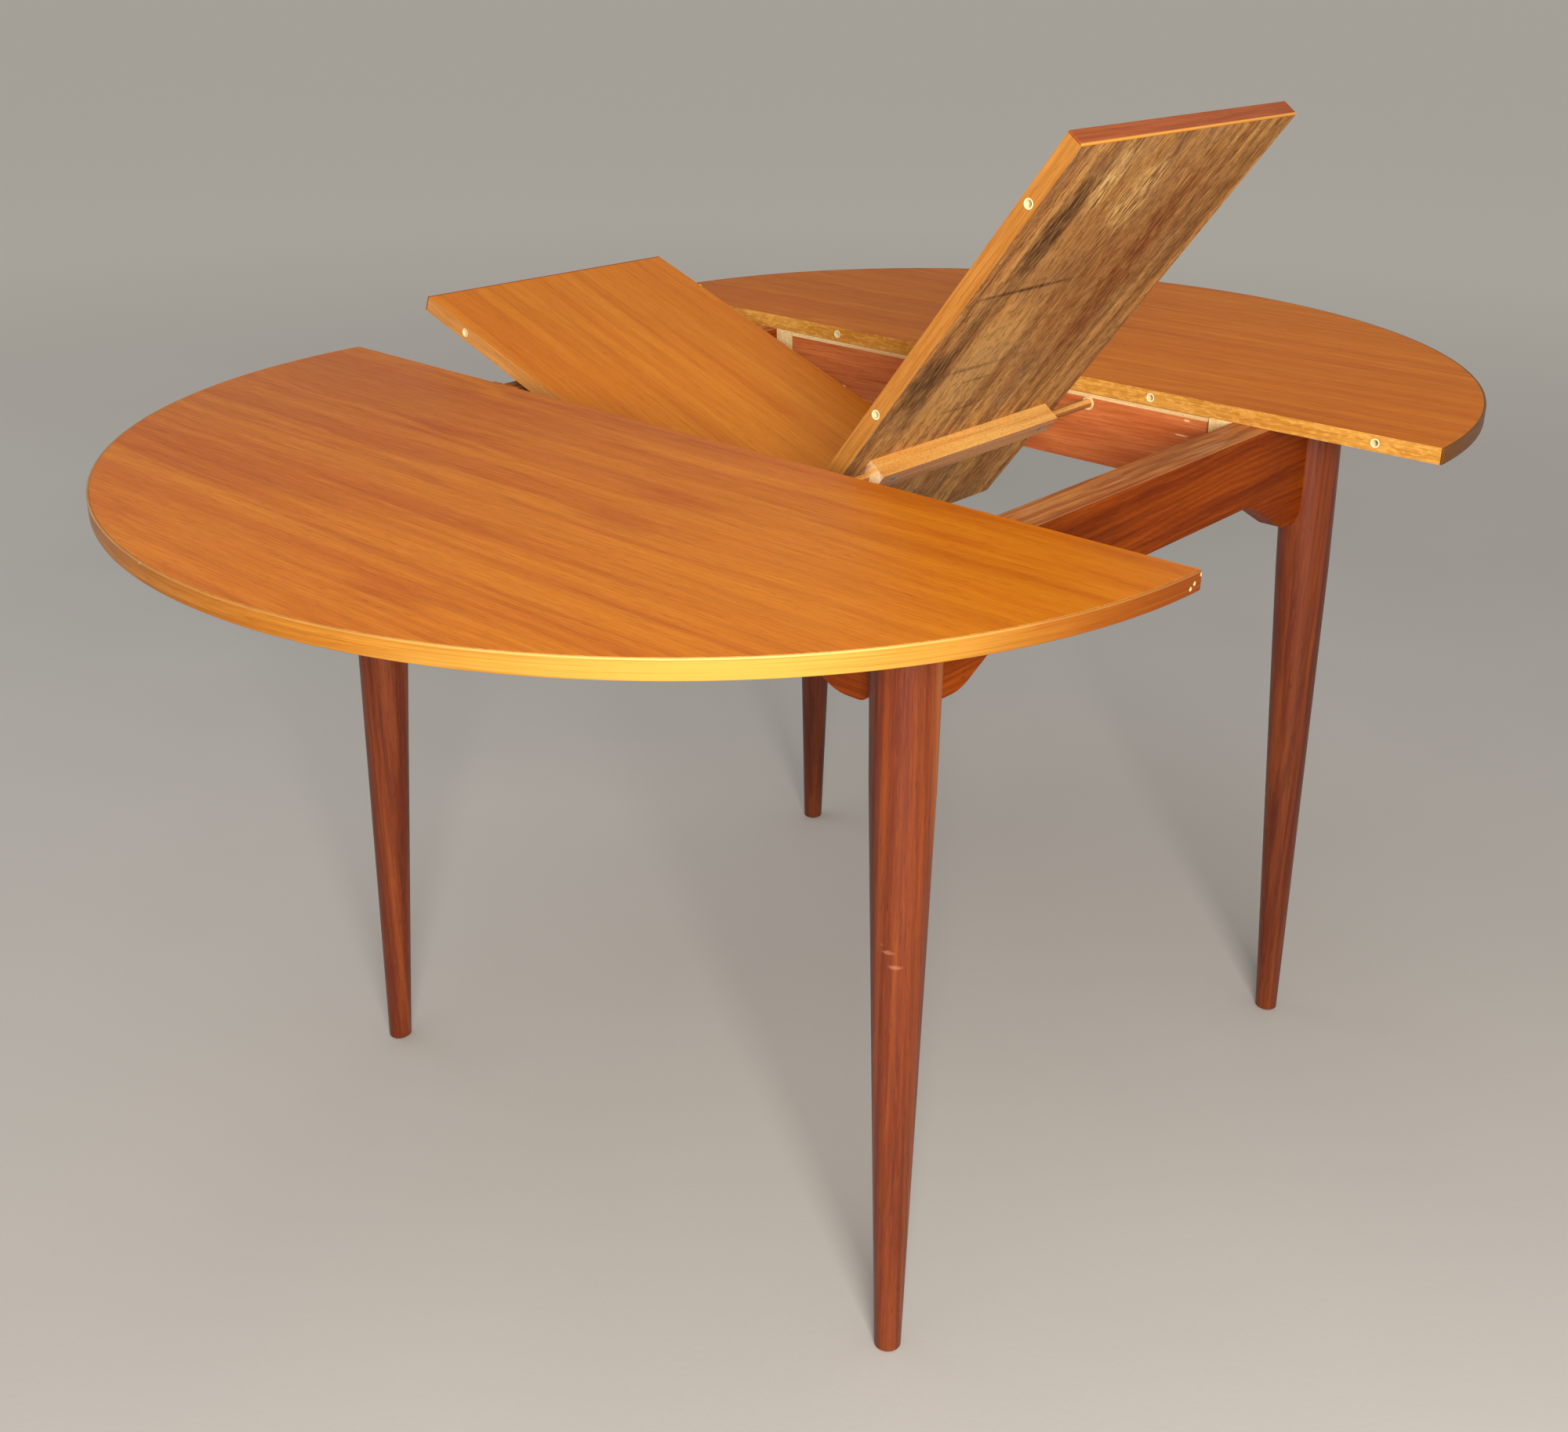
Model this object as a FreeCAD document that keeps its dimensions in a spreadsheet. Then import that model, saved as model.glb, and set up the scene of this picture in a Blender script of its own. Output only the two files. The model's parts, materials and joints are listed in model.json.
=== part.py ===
"""Round extending dining table with a folding leaf that stores itself under the top.

Two half tops slide apart on grooved battens, and a leaf in two hinged halves turns up
out of the frame on one pivot bar. The table is shown with its half tops pulled right out
and the leaf part of the way up.

The frame: X runs along the split between the half tops, Y is the way they slide, Z is up.
The origin is on the floor under the middle of the table. Lengths are in millimetres.
"""
import FreeCAD, Part
import Sketcher
import os
import re

# Driving dimensions
SIZES = {
    # The whole table
    "table_height": 740,
    "top_radius": 515,
    "board_thickness": 16,
    "open_gap": 436,
    "lipping_thickness": 2.5,
    # Clearances and the overrun of every cut
    "slide_gap": 0.3,
    "glue_gap": 0.05,
    "pin_gap": 0.05,
    "notch_gap": 1,
    "overrun": 5,
    # Leaf, its pivot and its fold
    "leaf_width": 340,
    "leaf_end_gap": 0.5,
    "leaf_lipping": 2,
    "pivot_offset": 137,
    "pivot_drop": 26,
    "leaf_rise": 53,
    "leaf_fold": 73,
    "fold_gap": 0.2,
    "fold_lift": 0.2,
    # Pegs and sockets in the meeting edges
    "peg_inset": 66,
    "peg_pitch": 241,
    "peg_diameter": 6,
    "peg_reach": 12,
    "peg_depth": 18,
    "peg_tip": 1.5,
    "bush_diameter": 9,
    "bush_bore": 6.4,
    "bush_depth": 13,
    # Pivot bar
    "bar_length": 276,
    "bar_shoulder": 9,
    "bar_pin_diameter": 9,
    "bar_pin_depth": 16,
    "washer_diameter": 14,
    "washer_thickness": 1.5,
    "bar_screw_place": 116,
    "bar_screw_length": 27,
    # Leaf hinges
    "hinge_place": 110,
    "hinge_length": 60,
    "knuckle_radius": 2,
    "hinge_pin_radius": 1,
    "hinge_plate": 1,
    "hinge_height": 12,
    "hinge_screw_pitch": 20,
    "hinge_screw_head": 2.2,
    "hinge_screw_shank": 1.2,
    "hinge_screw_length": 14,
    # Legs
    "foot_spread": 356,
    "knee_drop": 120,
    "top_spread": 333,
    "foot_diameter": 24,
    "leg_diameter": 58,
    "foot_chamfer": 1.5,
    # Arched rails
    "rail_face": 342,
    "rail_thickness": 22,
    "rail_depth": 72,
    "haunch_depth": 114,
    "haunch_start": 196,
    "haunch_end": 272,
    "rail_corner": 306,
    "rail_end": 318.5,
    "haunch_shoulder_radius": 60,
    "haunch_foot_radius": 45,
    "haunch_corner_radius": 12,
    "rail_step": 1.5,
    # Cross rails and their glide strips
    "cross_face": 216,
    "cross_thickness": 22,
    "glide_height": 4,
    # Guide battens and the left side's relief for the leaf
    "batten_width": 18,
    "batten_height": 30,
    "batten_end_gap": 20,
    "relief_inner": 12,
    "relief_outer": 4.5,
    "relief_side": 4,
    # Runners, tongues and stops
    "runner_inner": 276,
    "runner_seam": 288,
    "runner_height": 28,
    "runner_end_inset": 200,
    "tongue_drop": 17,
    "tongue_thickness": 8,
    "tongue_reach": 10,
    "tongue_seat": 7,
    "tongue_length": 78,
    "stop_diameter": 8,
    "stop_drop": 12,
    "stop_seat": 16,
    # Dowels and screws of the frame
    "dowel_diameter": 8,
    "dowel_length": 50,
    "dowel_drop": 18,
    "dowel_pitch": 46,
    "cross_dowel_length": 34,
    "cross_dowel_drop": 42,
    "cross_dowel_pitch": 18,
    "screw_head": 4,
    "screw_shank": 2,
    "screw_head_depth": 2.5,
    "runner_screw_length": 38,
    "runner_screw_margin": 22,
    "batten_screw_length": 32,
    "batten_screw_drop": 8,
    "batten_screw_inset": 15,
    "batten_screw_pitch": 90,
}

UP = FreeCAD.Vector(0, 0, 1)
RIGHT = FreeCAD.Vector(1, 0, 0)
AWAY = FreeCAD.Vector(0, 1, 0)

# Places worked out from the driving dimensions, as formulas
UNDERSIDE = "(table_height - board_thickness)"
FRAME_TOP = "(table_height - board_thickness - slide_gap)"
MID_BOARD = "(table_height - board_thickness / 2)"
SPLIT = "(open_gap / 2)"
HALF_LEAF = "(top_radius - leaf_end_gap)"
OUTER_PEG = "(top_radius - peg_inset)"
INNER_PEG = "(top_radius - peg_inset - peg_pitch)"
KNEE_HEIGHT = "(table_height - knee_drop)"
RUNNER_LENGTH = "(top_radius - runner_end_inset)"
BATTEN_REACH = "(rail_face - rail_thickness - batten_end_gap)"
BATTEN_INNER = "(rail_face - rail_thickness - batten_width)"
RUNNER_OUTER = f"({BATTEN_INNER} - slide_gap)"
RUNNER_BOTTOM = f"({UNDERSIDE} - runner_height)"
TONGUE_TOP = f"({UNDERSIDE} - tongue_drop)"
BATTEN_BOTTOM = f"({FRAME_TOP} - batten_height)"
RAIL_INNER = "(rail_face - rail_thickness)"
RAIL_MIDDLE = "(rail_face - rail_thickness / 2)"
CROSS_MIDDLE = "(cross_face + cross_thickness / 2)"
CROSS_BOTTOM = f"({UNDERSIDE} - rail_depth)"
CROSS_REACH = "(runner_inner - notch_gap)"
PIVOT_HEIGHT = "(table_height - pivot_drop)"
FOLD_HEIGHT = "(table_height + fold_lift)"

document = FreeCAD.newDocument("extending_table")
sheet = document.addObject("Spreadsheet::Sheet", "Sizes")
for row, (size_name, amount) in enumerate(SIZES.items(), start=1):
    sheet.set(f"A{row}", size_name)
    sheet.set(f"B{row}", str(amount))
    sheet.setAlias(f"B{row}", size_name)
document.recompute()

sub_parts = []


# Small helpers

def formula(text):
    """Point every size's name in a formula at its cell in the sheet."""
    def to_cell(word):
        return "Sizes." + word.group() if word.group() in SIZES else word.group()
    return re.sub(r"[a-z][a-z_]+", to_cell, text)


def bind(thing, **settings):
    """Bind properties to formulas, such as Length="leaf_width / 2"."""
    for setting, text in settings.items():
        thing.setExpression(setting, formula(text))
    return thing


def place(thing, x="0", y="0", z="0"):
    """Bind where a thing stands."""
    for axis, text in (("x", x), ("y", y), ("z", z)):
        thing.setExpression("Placement.Base." + axis, formula(text))
    return thing


def finished(thing, node):
    """Name a finished sub-part and keep it for the files."""
    thing.Label = node
    sub_parts.append(thing)
    return thing


def block(name, x, y, z):
    """A box between a low and a high formula on each axis."""
    box = document.addObject("Part::Box", name)
    bind(box, Length=f"({x[1]}) - ({x[0]})", Width=f"({y[1]}) - ({y[0]})", Height=f"({z[1]}) - ({z[0]})")
    return place(box, x[0], y[0], z[0])


def rod(name, radius, length, start, along):
    """A cylinder from a start point along a direction."""
    cylinder = document.addObject("Part::Cylinder", name)
    cylinder.Placement.Rotation = FreeCAD.Rotation(UP, along)
    bind(cylinder, Radius=radius, Height=length)
    return place(cylinder, *start)


def taper(name, radius, end_radius, length, start, along):
    """A cone from a start point along a direction."""
    cone = document.addObject("Part::Cone", name)
    cone.Placement.Rotation = FreeCAD.Rotation(UP, along)
    bind(cone, Radius1=radius, Radius2=end_radius, Height=length)
    return place(cone, *start)


def group(name, things):
    """Separate solids kept together."""
    compound = document.addObject("Part::Compound", name)
    compound.Links = things
    return compound


def join(name, things):
    """Solids fused into one."""
    fusion = document.addObject("Part::MultiFuse", name)
    fusion.Shapes = things
    return fusion


def cut(name, base, tools):
    """A base with tools that don't touch each other cut out of it."""
    result = document.addObject("Part::Cut", name)
    result.Base = base
    result.Tool = group(name + "_tools", tools)
    return result


def ring(name, radius, bore, length, start, along):
    """A tube from a start point along a direction."""
    return cut(name, rod(name + "_outside", radius, length, start, along),
               [rod(name + "_bore", bore, length, start, along)])


def screw(name, head, shank, head_depth, length, start, along, grow="0"):
    """A countersunk screw from its head's face, or with grow its hole."""
    parts = [taper(name + "_head", f"{head} + {grow}", f"{shank} + {grow}", head_depth, start, along),
             rod(name + "_shank", f"{shank} + {grow}", f"{length} + {grow}", start, along)]
    return join(name, parts)


def origin_plane(body, role):
    """One of a body's own origin planes."""
    return next(plane for plane in body.Origin.OriginFeatures if plane.Role == role)


def sketch_on(body, name, role, height="0"):
    """A sketch on an origin plane of its body, raised along its normal."""
    sketch = body.newObject("Sketcher::SketchObject", name)
    sketch.AttachmentSupport = [(origin_plane(body, role), "")]
    sketch.MapMode = "FlatFace"
    sketch.setExpression("AttachmentOffset.Base.z", formula(height))
    return sketch


def pin_point(sketch, element, end, x, y):
    """Hold a point of a sketch at two formulas from its origin."""
    for kind, text in (("DistanceX", x), ("DistanceY", y)):
        index = sketch.addConstraint(Sketcher.Constraint(kind, -1, 1, element, end, 1.0))
        sketch.setExpression(f"Constraints[{index}]", formula(text))


def draw_outline(sketch, corners):
    """A closed outline of straight lines through corners given as formulas."""
    count = len(corners)
    for index in range(count):
        sketch.addGeometry(Part.LineSegment(FreeCAD.Vector(index, index * index, 0),
                                            FreeCAD.Vector(index + 1, (index + 1) ** 2, 0)))
    for index in range(count):
        following = (index + 1) % count
        sketch.addConstraint(Sketcher.Constraint("Coincident", index, 2, following, 1))
        pin_point(sketch, index, 1, *corners[index])


def draw_circle(sketch, x, y, radius):
    """A circle whose centre and radius are formulas."""
    index = sketch.addGeometry(Part.Circle(FreeCAD.Vector(0, 0, 0), UP, 1))
    pin_point(sketch, index, 3, x, y)
    constraint = sketch.addConstraint(Sketcher.Constraint("Radius", index, 1.0))
    sketch.setExpression(f"Constraints[{constraint}]", formula(radius))


def pad(body, name, sketch, depth, both_ways=False):
    """A pad of a sketch."""
    feature = body.newObject("PartDesign::Pad", name)
    feature.Profile = sketch
    bind(feature, Length=depth)
    if both_ways:
        feature.SideType = "Symmetric"
    document.recompute()
    return feature


def pocket(body, name, sketch, depth, backwards):
    """A pocket of a sketch, checked to take material away."""
    before = body.Shape.Volume
    feature = body.newObject("PartDesign::Pocket", name)
    feature.Profile = sketch
    feature.Reversed = backwards
    bind(feature, Length=depth)
    document.recompute()
    if not body.Shape.Volume < before:
        raise RuntimeError(f"{name} cuts nothing")
    return feature


def prism(name, role, corners, depth):
    """A body padded both ways from an outline on an origin plane."""
    body = document.addObject("PartDesign::Body", name)
    sketch = sketch_on(body, name + "_outline", role)
    draw_outline(sketch, corners)
    pad(body, name + "_pad", sketch, depth, both_ways=True)
    return body


def soften(body, name, radius, chosen):
    """Round the edges of a body that a test chooses."""
    rounded = body.Tip
    edges = [f"Edge{index}" for index, edge in enumerate(rounded.Shape.Edges, start=1) if chosen(edge)]
    feature = body.newObject("PartDesign::Fillet", name)
    feature.Base = (rounded, edges)
    bind(feature, Radius=radius)
    document.recompute()
    return feature


# Half tops

def draw_half_disc(sketch, radius, inner_radius=None):
    """A half disc, or a half ring, on the side of the origin where Y is below zero."""
    start, end = 1, 2
    arcs = []
    for index, text in enumerate(filter(None, (radius, inner_radius))):
        size = SIZES["top_radius"] - index * SIZES["lipping_thickness"]
        arc = sketch.addGeometry(Part.ArcOfCircle(Part.Circle(FreeCAD.Vector(), UP, size), -3.14159, 0))
        sketch.addConstraint(Sketcher.Constraint("Coincident", arc, 3, -1, 1))
        sketch.addConstraint(Sketcher.Constraint("PointOnObject", arc, start, -1))
        sketch.addConstraint(Sketcher.Constraint("PointOnObject", arc, end, -1))
        constraint = sketch.addConstraint(Sketcher.Constraint("Radius", arc, size))
        sketch.setExpression(f"Constraints[{constraint}]", formula(text))
        arcs.append(arc)
    ends = [(arcs[0], start, arcs[-1], start), (arcs[0], end, arcs[-1], end)]
    if inner_radius is None:
        ends = [(arcs[0], start, arcs[0], end)]
    for first, first_end, second, second_end in ends:
        line = sketch.addGeometry(Part.LineSegment(sketch.getPoint(first, first_end),
                                                   sketch.getPoint(second, second_end)))
        sketch.addConstraint(Sketcher.Constraint("Coincident", line, start, first, first_end))
        sketch.addConstraint(Sketcher.Constraint("Coincident", line, end, second, second_end))


def stand_half_top(thing, side):
    """Stand a piece drawn for the near half top on the near (-1) or the far (1) side."""
    if side > 0:
        thing.Placement.Rotation = FreeCAD.Rotation(UP, 180)
    return place(thing, y=f"{side} * {SPLIT}", z=UNDERSIDE)


def make_half_top(side, name, hole_radius, hole_depth):
    body = document.addObject("PartDesign::Body", name + "_board")
    sketch = sketch_on(body, name + "_outline", "XY_Plane")
    draw_half_disc(sketch, "top_radius - lipping_thickness")
    pad(body, name + "_pad", sketch, "board_thickness")
    holes = sketch_on(body, name + "_peg_holes", "XZ_Plane")
    for way in (-1, 1):
        for reach in (INNER_PEG, OUTER_PEG):
            draw_circle(holes, f"{way} * {reach}", "board_thickness / 2", hole_radius)
    pocket(body, name + "_peg_pocket", holes, hole_depth, backwards=True)
    pilots = sketch_on(body, name + "_pilots", "XY_Plane")
    for way in (-1, 1):
        for index in range(3):
            draw_circle(pilots, f"{way} * {runner_screw_line()}", f"-{runner_screw_y(index)}",
                        "screw_shank + glue_gap")
    pocket(body, name + "_pilot_pocket", pilots,
           "runner_screw_length - runner_height + glue_gap", backwards=True)
    finished(stand_half_top(body, side), name)

    rim = document.addObject("PartDesign::Body", name + "_rim")
    sketch = sketch_on(rim, name + "_rim_outline", "XY_Plane")
    draw_half_disc(sketch, "top_radius", "top_radius - lipping_thickness")
    pad(rim, name + "_rim_pad", sketch, "board_thickness")
    finished(stand_half_top(rim, side), name.replace("top", "lipping"))


def peg(name, x, y, z, way):
    """A glued peg whose tip points along Y, away (1) or back (-1)."""
    radius = "(peg_diameter / 2)"
    start = (x, f"{y} - {way} * peg_depth", z)
    shank = rod(name + "_shank", radius, "peg_depth + peg_reach - peg_tip", start, AWAY * way)
    tip_start = (x, f"{y} + {way} * (peg_reach - peg_tip)", z)
    tip = taper(name + "_tip", radius, f"{radius} - peg_tip", "peg_tip", tip_start, AWAY * way)
    return join(name, [shank, tip])


def bush(name, x, y, z):
    """A bushed socket whose mouth faces back along Y."""
    return ring(name, "bush_diameter / 2", "bush_bore / 2", "bush_depth", (x, y, z), AWAY)


# Runners under the half tops

def runner_screw_line():
    """How far from the table's middle a runner's screws stand."""
    return f"((runner_seam + {RUNNER_OUTER}) / 2)"


def runner_screw_y(index):
    """How far from the split edge a runner's screw stands, spread evenly beyond its tongue."""
    pitch = f"(({RUNNER_LENGTH} - tongue_length) / 2 - runner_screw_margin)"
    return f"(tongue_length + runner_screw_margin + {index} * {pitch})"


def make_runner(name):
    """One runner, drawn on the right under the near half top."""
    near_end = "0"
    far_end = f"-{RUNNER_LENGTH}"
    bottom = "-runner_height"
    stop_y = f"(-({RAIL_INNER} - slide_gap - stop_diameter / 2 - {SPLIT}))"
    stop_x = "((runner_inner + runner_seam) / 2)"
    inner = block(name + "_inner_block", ("runner_inner", "runner_seam"), (far_end, near_end), (bottom, "0"))
    stop_hole = rod(name + "_stop_hole", "stop_diameter / 2 + glue_gap", "stop_seat + glue_gap + overrun",
                    (stop_x, stop_y, f"{bottom} - overrun"), UP)
    inner = cut(name + "_runner_cut", inner, [stop_hole])
    outer = block(name + "_outer_block", ("runner_seam", RUNNER_OUTER), (far_end, near_end), (bottom, "0"))
    seat = block(name + "_tongue_seat",
                 (f"{RUNNER_OUTER} - tongue_seat - glue_gap", f"{RUNNER_OUTER} + overrun"),
                 ("-tongue_length - glue_gap", "overrun"),
                 ("-tongue_drop - tongue_thickness - glue_gap", "-tongue_drop + glue_gap"))
    holes = [screw(f"{name}_screw_hole_{index}", "screw_head", "screw_shank", "screw_head_depth",
                   "runner_screw_length", (runner_screw_line(), f"-{runner_screw_y(index)}", bottom), UP,
                   grow="glue_gap") for index in range(3)]
    outer = cut(name + "_slide_cut", outer, [seat] + holes)
    tongue = block(name + "_tongue", (f"{RUNNER_OUTER} - tongue_seat", f"{RUNNER_OUTER} + tongue_reach"),
                   ("-tongue_length", near_end), ("-tongue_drop - tongue_thickness", "-tongue_drop"))
    stop = rod(name + "_stop", "stop_diameter / 2", "stop_seat + stop_drop",
               (stop_x, stop_y, f"{bottom} - stop_drop"), UP)
    screws = [screw(f"{name}_screw_{index}", "screw_head", "screw_shank", "screw_head_depth",
                    "runner_screw_length", (runner_screw_line(), f"-{runner_screw_y(index)}", bottom), UP)
              for index in range(3)]
    return inner, outer, tongue, stop, screws


def mirrored(thing, name):
    """A piece's mirror image on the other side of the table's middle."""
    image = document.addObject("Part::Mirroring", name)
    image.Source = thing
    image.Base = FreeCAD.Vector(0, 0, 0)
    image.Normal = RIGHT
    return image


def make_runners(side, side_name):
    tongues = []
    stops = []
    screws = []
    for way, way_name in ((-1, "left"), (1, "right")):
        inner, outer, tongue, stop, own_screws = make_runner(f"{side_name}_{way_name}")
        pieces = [inner, outer, tongue, stop] + own_screws
        turned_over = way * side > 0
        if turned_over:
            pieces = [mirrored(piece, piece.Name + "_image") for piece in pieces]
        finished(stand_half_top(group(f"{side_name}_{way_name}_runner_body", [pieces[0]]), side),
                 f"{side_name}_{way_name}_runner")
        finished(stand_half_top(group(f"{side_name}_{way_name}_slide_body", [pieces[1]]), side),
                 f"{side_name}_{way_name}_slide")
        tongues.append(pieces[2])
        stops.append(pieces[3])
        screws.extend(pieces[4:])
    for kind, things in (("tongues", tongues), ("stops", stops), ("runner_screws", screws)):
        finished(stand_half_top(group(f"{side_name}_{kind}_group", things), side), f"{side_name}_{kind}")


# Frame

def make_leg(way, side, name):
    body = document.addObject("PartDesign::Body", name + "_turning")
    knee_share = f"{KNEE_HEIGHT} / {FRAME_TOP}"
    knee_spread = f"(foot_spread - (foot_spread - top_spread) * {knee_share})"
    levels = [("sole", "0", "foot_spread", "foot_diameter / 2 - foot_chamfer"),
              ("foot", "foot_chamfer", "foot_spread", "foot_diameter / 2"),
              ("knee", KNEE_HEIGHT, knee_spread, "leg_diameter / 2"),
              ("head", FRAME_TOP, "top_spread", "leg_diameter / 2")]
    rings = []
    for level, height, spread, radius in levels:
        sketch = sketch_on(body, f"{name}_{level}", "XY_Plane", height)
        draw_circle(sketch, f"{way} * {spread}", f"{side} * {spread}", radius)
        rings.append(sketch)
    document.recompute()
    loft = body.newObject("PartDesign::AdditiveLoft", name + "_loft")
    loft.Profile = rings[0]
    loft.Sections = rings[1:]
    loft.Ruled = True
    document.recompute()
    low = f"{UNDERSIDE} - haunch_depth + haunch_corner_radius + rail_step - glue_gap"
    high = "table_height"
    reach = "rail_end + glue_gap"
    housings = []
    for kind in ("side", "end"):
        across = sorted_pair(way if kind == "side" else side, f"{RAIL_INNER} - glue_gap", "rail_face + glue_gap")
        along = sorted_pair(side if kind == "side" else way, "haunch_end", reach)
        x, y = (across, along) if kind == "side" else (along, across)
        housings.append(block(f"{name}_{kind}_housing", x, y, (low, high)))
        for index in range(2):
            housings.append(corner_dowel(f"{name}_{kind}_hole_{index}", kind, way, side, index, "glue_gap"))
    joined = join(name + "_joints", housings)
    finished(cut(name + "_cut", body, [joined]), name)


def sorted_pair(way, low, high):
    """A low and a high formula, mirrored when the way is below zero."""
    return (low, high) if way > 0 else (f"-({high})", f"-({low})")


def corner_dowel(name, kind, way, side, index, grow):
    """A dowel that joins a rail's end to a leg, or with grow its hole."""
    drop = f"(dowel_drop + {index} * dowel_pitch + {0 if kind == 'side' else 1} * dowel_pitch / 2)"
    z = f"{FRAME_TOP} - {drop}"
    start = f"(rail_end - dowel_length / 2 - {grow})"
    length = f"dowel_length + 2 * {grow}"
    radius = f"dowel_diameter / 2 + {grow}"
    if kind == "side":
        return rod(name, radius, length, (f"{way} * {RAIL_MIDDLE}", f"{side} * {start}", z), AWAY * side)
    return rod(name, radius, length, (f"{way} * {start}", f"{side} * {RAIL_MIDDLE}", z), RIGHT * way)


def make_corner_dowels():
    dowels = [corner_dowel(f"corner_dowel_{kind}_{way + 1}_{side + 1}_{index}", kind, way, side, index, "0")
              for kind in ("side", "end") for way in (-1, 1) for side in (-1, 1) for index in range(2)]
    finished(group("corner_dowel_group", dowels), "corner_dowels")


def arched_outline():
    """The outline of an arched rail: its length across, its height up."""
    middle = CROSS_BOTTOM
    deep = f"({UNDERSIDE} - haunch_depth)"
    half = [("haunch_start", middle), ("haunch_end", deep), ("rail_corner", deep),
            ("rail_corner", f"{deep} + haunch_corner_radius + rail_step"),
            ("rail_end", f"{deep} + haunch_corner_radius + rail_step"), ("rail_end", FRAME_TOP)]
    return half + [(f"-{across}", up) for across, up in reversed(half)]


def round_haunches(body, name, axis):
    """Round the haunches of an arched rail, whose length runs along X (0) or Y (1)."""
    deep = SIZES["table_height"] - SIZES["board_thickness"] - SIZES["haunch_depth"]
    middle = SIZES["table_height"] - SIZES["board_thickness"] - SIZES["rail_depth"]
    corners = (("shoulder", "haunch_start", middle), ("foot", "haunch_end", deep),
               ("corner", "rail_corner", deep))
    for title, across, up in corners:
        def at_corner(edge):
            middle_point = edge.CenterOfMass
            along = abs(middle_point[axis])
            return abs(along - SIZES[across]) < 1e-3 and abs(middle_point.z - up) < 1e-3
        soften(body, f"{name}_{title}", f"haunch_{title}_radius", at_corner)


def make_side_rail(way, name):
    body = prism(name + "_board", "YZ_Plane", arched_outline(), "rail_thickness")
    round_haunches(body, name, 1)
    place(body, x=f"{way} * {RAIL_MIDDLE}")
    holes = [corner_dowel(f"{name}_dowel_hole_{side + 1}_{index}", "side", way, side, index, "glue_gap")
             for side in (-1, 1) for index in range(2)]
    holes += cross_dowels(name + "_cross_hole", way, "glue_gap")
    holes += batten_screws(name + "_screw_hole", way, "glue_gap")
    if way < 0:
        holes.append(leaf_relief(name + "_relief"))
    finished(cut(name + "_cut", body, holes), name)


def make_end_rail(side, name):
    body = prism(name + "_board", "XZ_Plane", arched_outline(), "rail_thickness")
    round_haunches(body, name, 0)
    place(body, y=f"{side} * {RAIL_MIDDLE}")
    holes = [corner_dowel(f"{name}_dowel_hole_{way + 1}_{index}", "end", way, side, index, "glue_gap")
             for way in (-1, 1) for index in range(2)]
    across = sorted_pair(side, f"{RAIL_INNER} - overrun", "rail_face + overrun")
    for way in (-1, 1):
        notch = sorted_pair(way, "runner_inner - slide_gap", BATTEN_INNER)
        holes.append(block(f"{name}_notch_{way + 1}", notch, across,
                           (f"{RUNNER_BOTTOM} - slide_gap", "table_height")))
    finished(cut(name + "_cut", body, holes), name)


def make_cross_rail(side, name):
    half = [(RAIL_INNER, CROSS_BOTTOM), (RAIL_INNER, BATTEN_BOTTOM), (BATTEN_INNER, BATTEN_BOTTOM),
            (BATTEN_INNER, f"{RUNNER_BOTTOM} - stop_drop - notch_gap"),
            (CROSS_REACH, f"{RUNNER_BOTTOM} - stop_drop - notch_gap"),
            (CROSS_REACH, f"{FRAME_TOP} - glide_height")]
    outline = half + [(f"-{across}", up) for across, up in reversed(half)]
    body = prism(name + "_board", "XZ_Plane", outline, "cross_thickness")
    place(body, y=f"{side} * {CROSS_MIDDLE}")
    pivot = rod(name + "_pivot_hole", "bar_pin_diameter / 2 + pin_gap",
                "bar_pin_depth + slide_gap + overrun",
                ("pivot_offset", f"{side} * (cross_face - overrun)", PIVOT_HEIGHT), AWAY * side)
    holes = [pivot]
    for way in (-1, 1):
        holes += cross_dowels(f"{name}_dowel_hole_{way + 1}", way, "glue_gap", (side,))
    finished(cut(name + "_cut", body, holes), name)
    strip = block(name + "_strip", (f"-{CROSS_REACH}", CROSS_REACH),
                  sorted_pair(side, "cross_face", "cross_face + cross_thickness"),
                  (f"{FRAME_TOP} - glide_height", FRAME_TOP))
    finished(strip, name.replace("cross_rail", "glide_strip"))


def cross_dowels(name, way, grow, sides=(-1, 1)):
    """The dowels that join the cross rails to one side rail."""
    start = f"{way} * ({RAIL_INNER} + rail_thickness / 2 + {grow})"
    length = f"cross_dowel_length + 2 * {grow}"
    radius = f"dowel_diameter / 2 + {grow}"
    return [rod(f"{name}_{side + 1}_{index}", radius, length,
                (start, f"{side} * {CROSS_MIDDLE}", f"{UNDERSIDE} - cross_dowel_drop - {index} * cross_dowel_pitch"),
                RIGHT * -way) for side in sides for index in range(2)]


def leaf_relief(name):
    """The sloped cut that lets the folding left half pass over the left side rail."""
    reach = "(leaf_width / 2 + relief_side)"
    slope_run = "(rail_thickness + batten_width)"
    slope = f"((relief_inner - relief_outer) / {slope_run})"
    corners = [(f"-(rail_face + overrun)", f"{FRAME_TOP} - relief_outer + {slope} * overrun"),
               (f"-({BATTEN_INNER} - overrun)", f"{FRAME_TOP} - relief_inner - {slope} * overrun"),
               (f"-({BATTEN_INNER} - overrun)", "table_height"),
               (f"-(rail_face + overrun)", "table_height")]
    return prism(name, "XZ_Plane", corners, f"2 * {reach}")


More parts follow.
